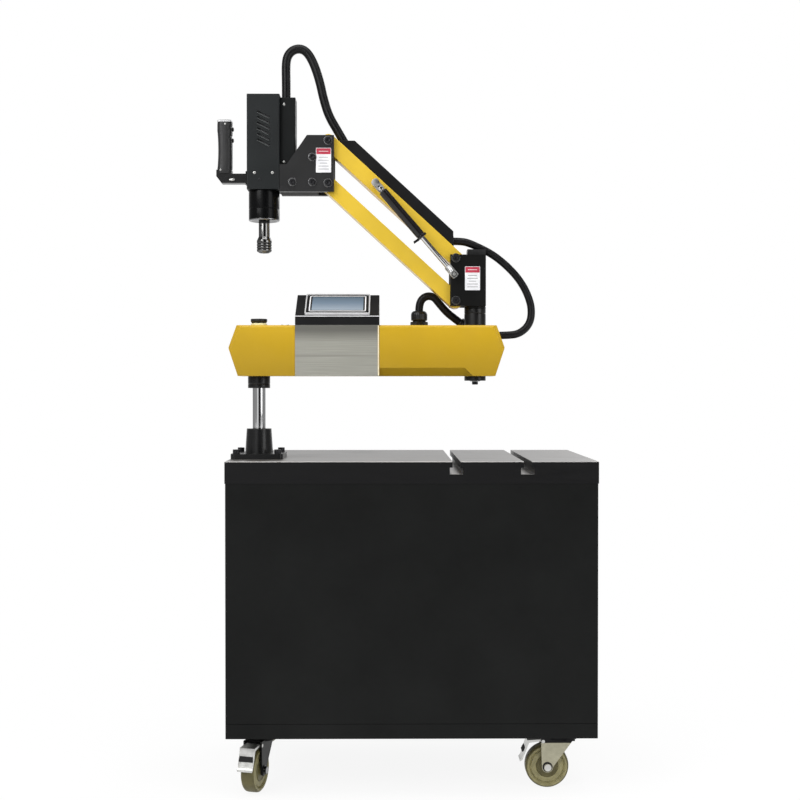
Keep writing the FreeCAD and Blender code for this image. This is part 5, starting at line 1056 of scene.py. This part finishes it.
def tapping_chuck():
    """Spindle nose with its bore for tap adaptors, and a dark rod, painted shade, for a small pin hole that
    faces the front left.
    """
    x, y, _ = middle("spindle_chuck")
    bottom, nose = span("spindle_housing")[0][2], span("spindle_chuck")[0][2]
    bore_r, nose_r, shank_r, bore, shank = 9.5, 12.9, 12, 45, 100
    top = (bottom - nose) / MM - 0.3
    section = [(bore_r, 0), (11.4, 0), (nose_r, 1.6), (nose_r, top), (shank_r, top), (shank_r, top + shank),
               (0, top + shank), (0, bore), (bore_r, bore)]
    piece("tapping_chuck", hollow(section, 0.8, (x, y, nose)), "spindle_chuck", "chuck_steel", True)
    hole = (x - 6.3 * MM, y - 11.3 * MM, nose + (top - 10) * MM)
    piece("chuck_pin_hole_shade", rod(2.5, -2, 0.5, hole, (-0.49, -0.87, 0), 32, 0.3), "spindle_chuck", "shade_black")


def release_sleeve():
    """Sleeve with three grooves, one pitch apart, darkened by rings of painted shade, a finely knurled
    outside and a tapered neck.
    """
    x, y, _ = middle("spindle_chuck")
    place, height = standing("chuck_sleeve", x, y)
    inner_r, outer_r, groove_r, pitch = 13.05, 17.3, 15.6, 6.2
    grooves = [pitch * (k + 1) for k in range(3)]
    wall = [(inner_r, 0), (15.0, 0), (16.9, 2.0), (outer_r, 4.6)]
    for z in grooves:
        wall += [(outer_r, z - 0.2), (groove_r, z + 0.3), (groove_r, z + 2.0), (outer_r, z + 2.5)]
    wall += [(outer_r, height - 3.6), (16.4, height - 1), (14.6, height + 2.6), (13.4, height + 5.5),
             (inner_r, height + 5.5)]
    lobes = beyond(outer_r - 0.1, lambda t: 1 + 0.004 * np.cos(48 * t))
    piece("release_sleeve", hollow(wall, 0.9, place, lobes=lobes), "chuck_sleeve", instead=True)
    rings = [ring(15.7, 16.5, z + 0.3, z + 2.4, place, Z, 96, 0.3) for z in grooves]
    piece("sleeve_groove_shade", joined(rings), "chuck_sleeve", "shade_black")


# Handle

def handle():
    dressed("handle_arm", 1.6)
    low, high = span("handle_grip")
    x, y = (low[0] + high[0]) / 2 + 1.0 * MM, (low[1] + high[1]) / 2
    half = (high[0] - low[0]) / 2 / MM
    grip(x, y, low[2] - 8.0 * MM, high[2] - 6.2 * MM, half)
    for name, share, start, end, look in (("grip_top_plate", 0.95, -6.4, -3.0, "silver_frame"),
                                          ("grip_top_cap", 0.88, -3.1, -2.0, "black_plastic")):
        outline = rounded_rectangle(2 * half * share, 2 * half * share, 7)
        plate = outline_plate(laid(outline, np.array((x, y, high[2])), X, Y), start, end, Z)
        piece(name, plate, "handle_grip", look)
    handle_stud(x)
    for k, (dx, drop) in enumerate(((2.5, 12.0), (-8.2, 119.0))):
        place = np.array((x + dx * MM, low[1] + 0.75 * MM, high[2] - drop * MM))
        pan_head(f"grip_screw_{k}", place, 2.2, 1.1, "handle_grip", "zinc")
    for word in ("start", "reverse"):
        push_button(word, y, high[0] - 1.4 * MM)


def grip(x, y, bottom, top, half):
    """Moulded grip, carried up the handle. Its section is a rounded square, a circle over the cube root of
    |cos|^3 + |sin|^3. From its half width come off a waist on the left, as a half sine to the power 0.7, and
    towards the head two finger hollows, as bell curves, and a foot; both ends draw in."""
    waist_deep, finger_deep, foot_deep, slim = 2.6, 1.8, 1.8, 0.97
    rows = np.linspace(0, 1, 120)[:, None]
    t = np.linspace(0, 2 * math.pi, 72, endpoint=False)[None, :]
    ends = 1 - 0.09 * np.exp(-rows * 34) - 0.05 * np.exp(-(1 - rows) * 60)
    toward_head, toward_left = np.clip(np.cos(t), 0, 1) ** 2, np.clip(-np.cos(t), 0, 1) ** 2
    waist = waist_deep * np.clip(np.sin(np.clip((rows - 0.10) / 0.72, 0, 1) * math.pi), 0, 1) ** 0.7
    fingers = finger_deep * sum(np.exp(-((rows - share) / 0.03) ** 2) for share in (0.905, 0.72))
    foot = foot_deep * np.exp(-rows * 14)
    square = (np.abs(np.cos(t)) ** 3 + np.abs(np.sin(t)) ** 3) ** (-1 / 3)
    radius = (half * ends - waist * toward_left - (fingers + foot) * toward_head) * square * slim * MM
    points = np.stack([x + radius * np.cos(t), y + radius * np.sin(t),
                       bottom + rows * (top - bottom) * np.ones_like(t)], -1)
    piece("grip_moulding", surface(points), "handle_grip", instead=True)


def handle_stud(x):
    """Bright oval button on the handle bar's front, half lengths 7.0 across, 2.6 up and 1.2 out."""
    low = span("handle_arm")[0]
    turn = np.linspace(0, math.pi, 12)[:, None]
    t = np.linspace(0, 2 * math.pi, 40, endpoint=False)[None, :]
    oval = np.stack([7.0 * np.sin(turn) * np.cos(t), -1.2 * np.cos(turn) * np.ones_like(t),
                     2.6 * np.sin(turn) * np.sin(t)], -1)
    place = np.array((x + 18 * MM, low[1], low[2] + 12 * MM))
    piece("handle_stud", surface(place + oval * MM, caps=False), "handle_arm", "zinc")


def push_button(word, y, seat_x):
    """Domed push button on the grip's side, in a black collar."""
    node = word + "_button"
    low, high = span(node)
    r, length = (high[2] - low[2]) / 2 / MM, (high[0] - low[0]) / MM
    centre = (low[0], (low[1] + high[1]) / 2, (low[2] + high[2]) / 2)
    dome = [(0, 0), (r, 0), (r, length - 2.4), (r * 0.86, length - 0.8), (r * 0.5, length - 0.12),
            (0, length)]
    piece(word + "_dome", turned(dome, centre, X, 48, corner=0.5), node, instead=True)
    collar = ring(r + 0.15, r + 1.9, -2.2, 0.6, (seat_x, y, centre[2]), X, 48, 0.5)
    piece(word + "_collar", collar, "handle_grip", "black_plastic")


# Hoses: control points in metres, the same routes as the part's

def upright(y, *places):
    """Points of x and z in the upright plane at y."""
    return [(x, y, z) for x, z in places]


HEAD_HOSE = upright(-0.105, (-0.2753, 1.5975), (-0.2753, 1.634), (-0.2762, 1.678), (-0.2726, 1.700),
                    (-0.2595, 1.714), (-0.2416, 1.7172), (-0.2256, 1.7082), (-0.2103, 1.6815),
                    (-0.1968, 1.6405), (-0.1883, 1.6005), (-0.1758, 1.5595), (-0.1538, 1.5225),
                    (-0.1346, 1.4892))
BRIDGE_HOSE = upright(-0.105, (0.1161, 1.266), (0.134, 1.266), (0.153, 1.2625), (0.1705, 1.2545))
LOOP_HOSE = upright(-0.105, (0.1705, 1.2545), (0.188, 1.2465), (0.213, 1.2325), (0.2395, 1.2115),
                    (0.2675, 1.183), (0.289, 1.149), (0.302, 1.110), (0.298, 1.072), (0.2725, 1.048),
                    (0.2405, 1.045), (0.223, 1.045))
GLAND_HOSE = upright(-0.066, (0.0374, 1.1045), (0.0374, 1.124), (0.0515, 1.140), (0.0715, 1.1395),
                     (0.085, 1.1225), (0.103, 1.1015), (0.120, 1.088), (0.134, 1.0775))
RING_PITCH = 2.6 * MM
RING_DEPTH = 0.22 * MM


def smooth_route(route):
    """Points along the NURBS spline whose control points are the route."""
    curve = bpy.data.curves.new("route", "CURVE")
    curve.dimensions = "3D"
    spline = curve.splines.new("NURBS")
    spline.points.add(len(route) - 1)
    for point, place in zip(spline.points, route):
        point.co = (*place, 1)
    spline.order_u = 3
    spline.use_endpoint_u = True
    spline.resolution_u = 24
    holder = bpy.data.objects.new("route", curve)
    line = bpy.data.meshes.new_from_object(holder)
    found = np.empty(len(line.vertices) * 3)
    line.vertices.foreach_get("co", found)
    bpy.data.meshes.remove(line)
    bpy.data.objects.remove(holder)
    bpy.data.curves.remove(curve)
    return found.reshape(-1, 3)


def evenly(points, step):
    """The same line with its points a step apart, and each point's distance along it."""
    gaps = np.linalg.norm(np.diff(points, axis=0), axis=1)
    at = np.concatenate([[0], np.cumsum(gaps)])
    s = np.linspace(0, at[-1], max(8, int(round(at[-1] / step))) + 1)
    return np.stack([np.interp(s, at, points[:, k]) for k in range(3)], -1), s


def hose(name, node, route, diameter):
    """A ringed hose: its radius falls by the ring depth once every ring pitch along its length."""
    line, s = evenly(smooth_route(route), RING_PITCH / 5)
    radius = diameter / 2 - RING_DEPTH * (0.5 - 0.5 * np.cos(s * 2 * math.pi / RING_PITCH)) ** 3
    obj = piece(name, swept(line, radius), node, instead=True, crease=80)
    return obj, line, float(s[-1])


def bent(obj, first, second, start, end):
    """A hose that bends between two bodies."""
    obj.parent = None
    del obj["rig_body"]
    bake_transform(obj, first, second, start=start, end=end)


def hoses():
    """Head hose, which bends along its lower run, bridge and loop over the elbow, and the gland's hose."""
    head_d, loop_d, gland_d = 21 * MM, 18 * MM, 19 * MM
    head, head_line, head_length = hose("head_conduit", "head_hose", HEAD_HOSE, head_d)
    bent(head, "head", "upper_link", (-0.200, -0.105, 1.630), (-0.136, -0.105, 1.502))
    bridge, _, _ = hose("bridge_conduit", "bridge_hose", BRIDGE_HOSE, loop_d)
    bent(bridge, "upper_link", "swivel", (0.118, -0.105, 1.26), (0.150, -0.105, 1.26))
    loop, loop_line, loop_length = hose("loop_conduit", "loop_hose", LOOP_HOSE, loop_d)
    bent(loop, "lower_arm", "swivel", (0.17, -0.105, 1.05), (0.17, -0.105, 1.235))
    gland, gland_line, gland_length = hose("gland_conduit", "gland_hose", GLAND_HOSE, gland_d)


# Casters

def casters():
    dressed("caster_plates", 0.6)
    for place in ("fl", "fr", "rl", "rr"):
        # The front left fork takes the black look, and its nuts a darker metal, as painted shade on its unlit
        # side; the other forks and nuts are zinc.
        nut_finish_and_shade = "bolt_rim" if place == "fl" else "zinc"
        dressed("caster_fork_" + place, 0.8, "rear_black" if place == "fl" else "caster_zinc")
        wheel(place, nut_finish_and_shade)
        dust_seal(place)
        if "brake_press_" + place in joints:
            brake(place)


def wheel(place, nut_finish_and_shade):
    """Nylon wheel, turned from a mirrored half section, with hub faces, washers and nuts on its axle."""
    node, fork, roll = "caster_wheel_" + place, "caster_fork_" + place, joints["wheel_roll_" + place]
    centre, axle = np.array(roll["pos_m"]), unit(roll["axis"])
    half = [(6.0, 18.1), (10.6, 18.1), (11.8, 17.2), (12.0, 15.0), (20.5, 14.6), (24.0, 16.0), (25.6, 13.4),
            (36.2, 12.8), (37.4, 10.6), (38.8, 10.6), (40.2, 13.4), (42.5, 15.8), (46.5, 15.4), (49.2, 13.0),
            (50.0, 9.0)]
    section = [*half, *[(r, -h) for r, h in half[::-1]]]
    piece("nylon_wheel_" + place, hollow(section, 1.2, centre, axle, 128), node, instead=True)
    rim = [(26.0, 13.0), (26.0, 13.6), (36.3, 13.1), (37.5, 10.9), (38.7, 10.9), (40.1, 13.7), (42.4, 16.1),
           (46.0, 15.8), (46.0, 14.6), (42.4, 14.6), (40.1, 12.6), (37.5, 10.0)]
    hub_face, fork_face, washer = 18.0, 22.5, 1.4
    for out, word in ((-axle, "inner"), (axle, "outer")):
        hub = ring(6.6, 10.4, 0, 0.35, centre + out * hub_face * MM, out, 48, 0.15)
        piece(f"bearing_face_{word}_{place}", hub, node, "bearing_steel")
        seat = centre + out * fork_face * MM
        piece(f"axle_washer_{word}_{place}", rod(11.5, 0, washer, seat, out, 48, 0.4), fork, "black_oxide")
        piece(f"wheel_face_{word}_{place}", hollow(rim, 0.2, centre, out), node, "nylon_pale")
        hexagon_head(f"axle_nut_{word}_{place}", seat + out * washer * MM, out, 9.0, 5.7, fork, nut_finish_and_shade)


def dust_seal(place):
    """Rubber lip under the fork's top race."""
    fork = "caster_fork_" + place
    x, y, _ = joints["caster_swivel_" + place]["pos_m"]
    section = [(30, 1.2), (36.6, 1.2), (37.4, 3.0), (36.6, 4.6), (30, 4.6)]
    seat = (x, y, span(fork)[1][2] - 4.2 * MM)
    piece("dust_seal_" + place, hollow(section, 0.9, seat), fork, "black_plastic")


def brake(place):
    """The pedal, with raised strips across its curled foot and a dark band of painted shade along its edge.
    """
    node, hinge = "brake_pedal_" + place, joints["brake_press_" + place]
    dressed(node, 0.7)
    pin, axle = np.array(hinge["pos_m"]), unit(hinge["axis"])
    trail = unit(np.cross(axle, Z))

    def foot_at(share):
        """A point on the foot's face, a share of the way down it from its upper edge."""
        return pin + trail * ((31 + 18 * share) * MM) + Z * ((2.6 - 33 * share) * MM)

    def strip(start, end, half, proud):
        low, high, side = foot_at(end), foot_at(start), axle * half * MM
        return outline_plate([low - side, low + side, high + side, high - side], 0.2, proud,
                             trail * 0.87 + Z * 0.48)
    strips = [strip(share, share + 0.06, 15, 1.3) for share in (0.12, 0.26, 0.40)]
    piece("pedal_strips_" + place, joined(strips), node, "bolt_rim")
    # Painted shade: a dark band where the curl shades the pedal.
    piece("pedal_shade_band_" + place, strip(0.54, 0.86, 16, 1.5), node, "shade_black")


# Room, lamps and camera

def studio():
    """White background for the camera and in gloss and glass, and soft light from all round, by height."""
    world = bpy.data.worlds.new("studio")
    scene.world = world
    world.use_nodes = True
    room = Wiring(world.node_tree)
    soft, out = room.tree.nodes["Background"], room.tree.nodes["World Output"]
    soft.inputs["Color"].default_value = (1, 1, 1, 1)
    room.join(room.between(room.parts("Generated")["Z"], 0.14, 0.9, -0.6, 0.9), soft.inputs["Strength"])
    white = room.node("Background", Color=(1, 1, 1, 1), Strength=1.0)
    lit = room.two_of(room.shown_to("Is Glossy Ray"), soft.outputs[0], glossy_walls(room))
    seen = room.shown_to("Is Camera Ray", "Is Transmission Ray")
    room.join(room.two_of(seen, lit, white.outputs[0]), out.inputs["Surface"])


def glossy_walls(room):
    """What gloss sees, by the direction's turn about Z from the camera's side: a dark doorway a little to its
    right, a lit panel to its left, grey walls, the white background behind, and a dimmer ceiling."""
    way = room.parts("Generated")
    turn = room.maths("ARCTAN2", way["X"], room.maths("MULTIPLY", way["Y"], -1.0))
    ramp = room.node("ValToRGB", {0: room.between(turn, 0, 1, -math.pi, math.pi)})
    stops = [(-180, 1.0), (-150, 0.9), (-125, 0.3), (-32, 0.36), (-24, 0.95), (-10, 0.95), (-4, 0.02),
             (26, 0.02), (34, 0.3), (125, 0.3), (150, 0.9), (180, 1.0)]
    while len(ramp.color_ramp.elements) < len(stops):
        ramp.color_ramp.elements.new(1.0)
    for element, (degrees, level) in zip(ramp.color_ramp.elements, stops):
        element.position = 0.5 + degrees / 360
        element.color = (level, level, level, 1)
    ceiling = room.between(way["Z"], 1.0, 0.3, 0.25, 0.7)
    return room.node("Background", {"Color": ramp.outputs[0], "Strength": ceiling}).outputs[0]


def floor():
    """Matt floor that keeps its shadow: the camera, gloss and glass see 0.9 of a white glow near the object,
    and all of it from 1.5 m out."""
    left, right, front, back = -6, 6, -5, 7
    mesh = mesh_of([(left, front, 0), (right, front, 0), (right, back, 0), (left, back, 0)], [[0, 1, 2, 3]])
    obj = bpy.data.objects.new("floor", mesh)
    scene.collection.objects.link(obj)
    paint = Look("floor", (0.9, 0.9, 0.9), 0.8)
    glow = paint.node("Emission", Strength=1.0)
    reach = paint.node("VectorMath", {0: paint.place["Object"]}, {"operation": "LENGTH"}).outputs["Value"]
    fade = paint.node("MapRange", {"Value": reach}, {"interpolation_type": "SMOOTHSTEP"}, From_Min=0.5,
                      From_Max=1.5, To_Min=0.9, To_Max=1.0).outputs[0]
    seen = paint.shown_to("Is Camera Ray", "Is Glossy Ray", "Is Transmission Ray")
    mix = paint.two_of(paint.maths("MULTIPLY", seen, fade), paint.shader.outputs[0], glow.outputs[0])
    paint.join(mix, paint.tree.nodes["Material Output"].inputs["Surface"])
    mesh.materials.append(paint.material)


def lamp(name, place, target, size, power):
    data = bpy.data.lights.new(name, "AREA")
    data.shape = "RECTANGLE"
    data.size, data.size_y = size
    data.energy = power
    obj = bpy.data.objects.new(name, data)
    scene.collection.objects.link(obj)
    obj.location = place
    obj.rotation_euler = (Vector(target) - Vector(place)).to_track_quat("-Z", "Y").to_euler()


def lights():
    lamp("key", (-2.2, -2.8, 2.9), (0, -0.1, 1.0), (1.8, 1.8), 62)
    lamp("fill", (2.6, -2.4, 1.6), (0, -0.1, 0.9), (1.6, 2.2), 26)
    lamp("top", (0.0, -0.7, 3.3), (0, 0, 1.0), (2.4, 1.4), 30)
    lamp("rim", (1.6, 2.4, 2.4), (0, 0, 1.1), (1.2, 1.2), 20)


def camera():
    """The photograph's viewpoint: about 3.06 m in front, 0.93 m high, turned and tipped by under a degree."""
    data = bpy.data.cameras.new("camera")
    data.sensor_width = 36
    data.lens = 56.46
    obj = bpy.data.objects.new("camera", data)
    scene.collection.objects.link(obj)
    obj.location = (-0.0323, -3.059, 0.9285)
    yaw, pitch = math.radians(0.46), math.radians(0.69)
    look = Vector((math.sin(yaw) * math.cos(pitch), math.cos(yaw) * math.cos(pitch), -math.sin(pitch)))
    obj.rotation_mode = "QUATERNION"
    obj.rotation_quaternion = look.to_track_quat("-Z", "Y")
    scene.camera = obj


worktop_and_cabinet()
column()
lower_arm()
swivel()
links()
gas_spring()
tapping_head()
handle()
hoses()
casters()
studio()
floor()
lights()
camera()
scene.view_settings.view_transform = "Standard"
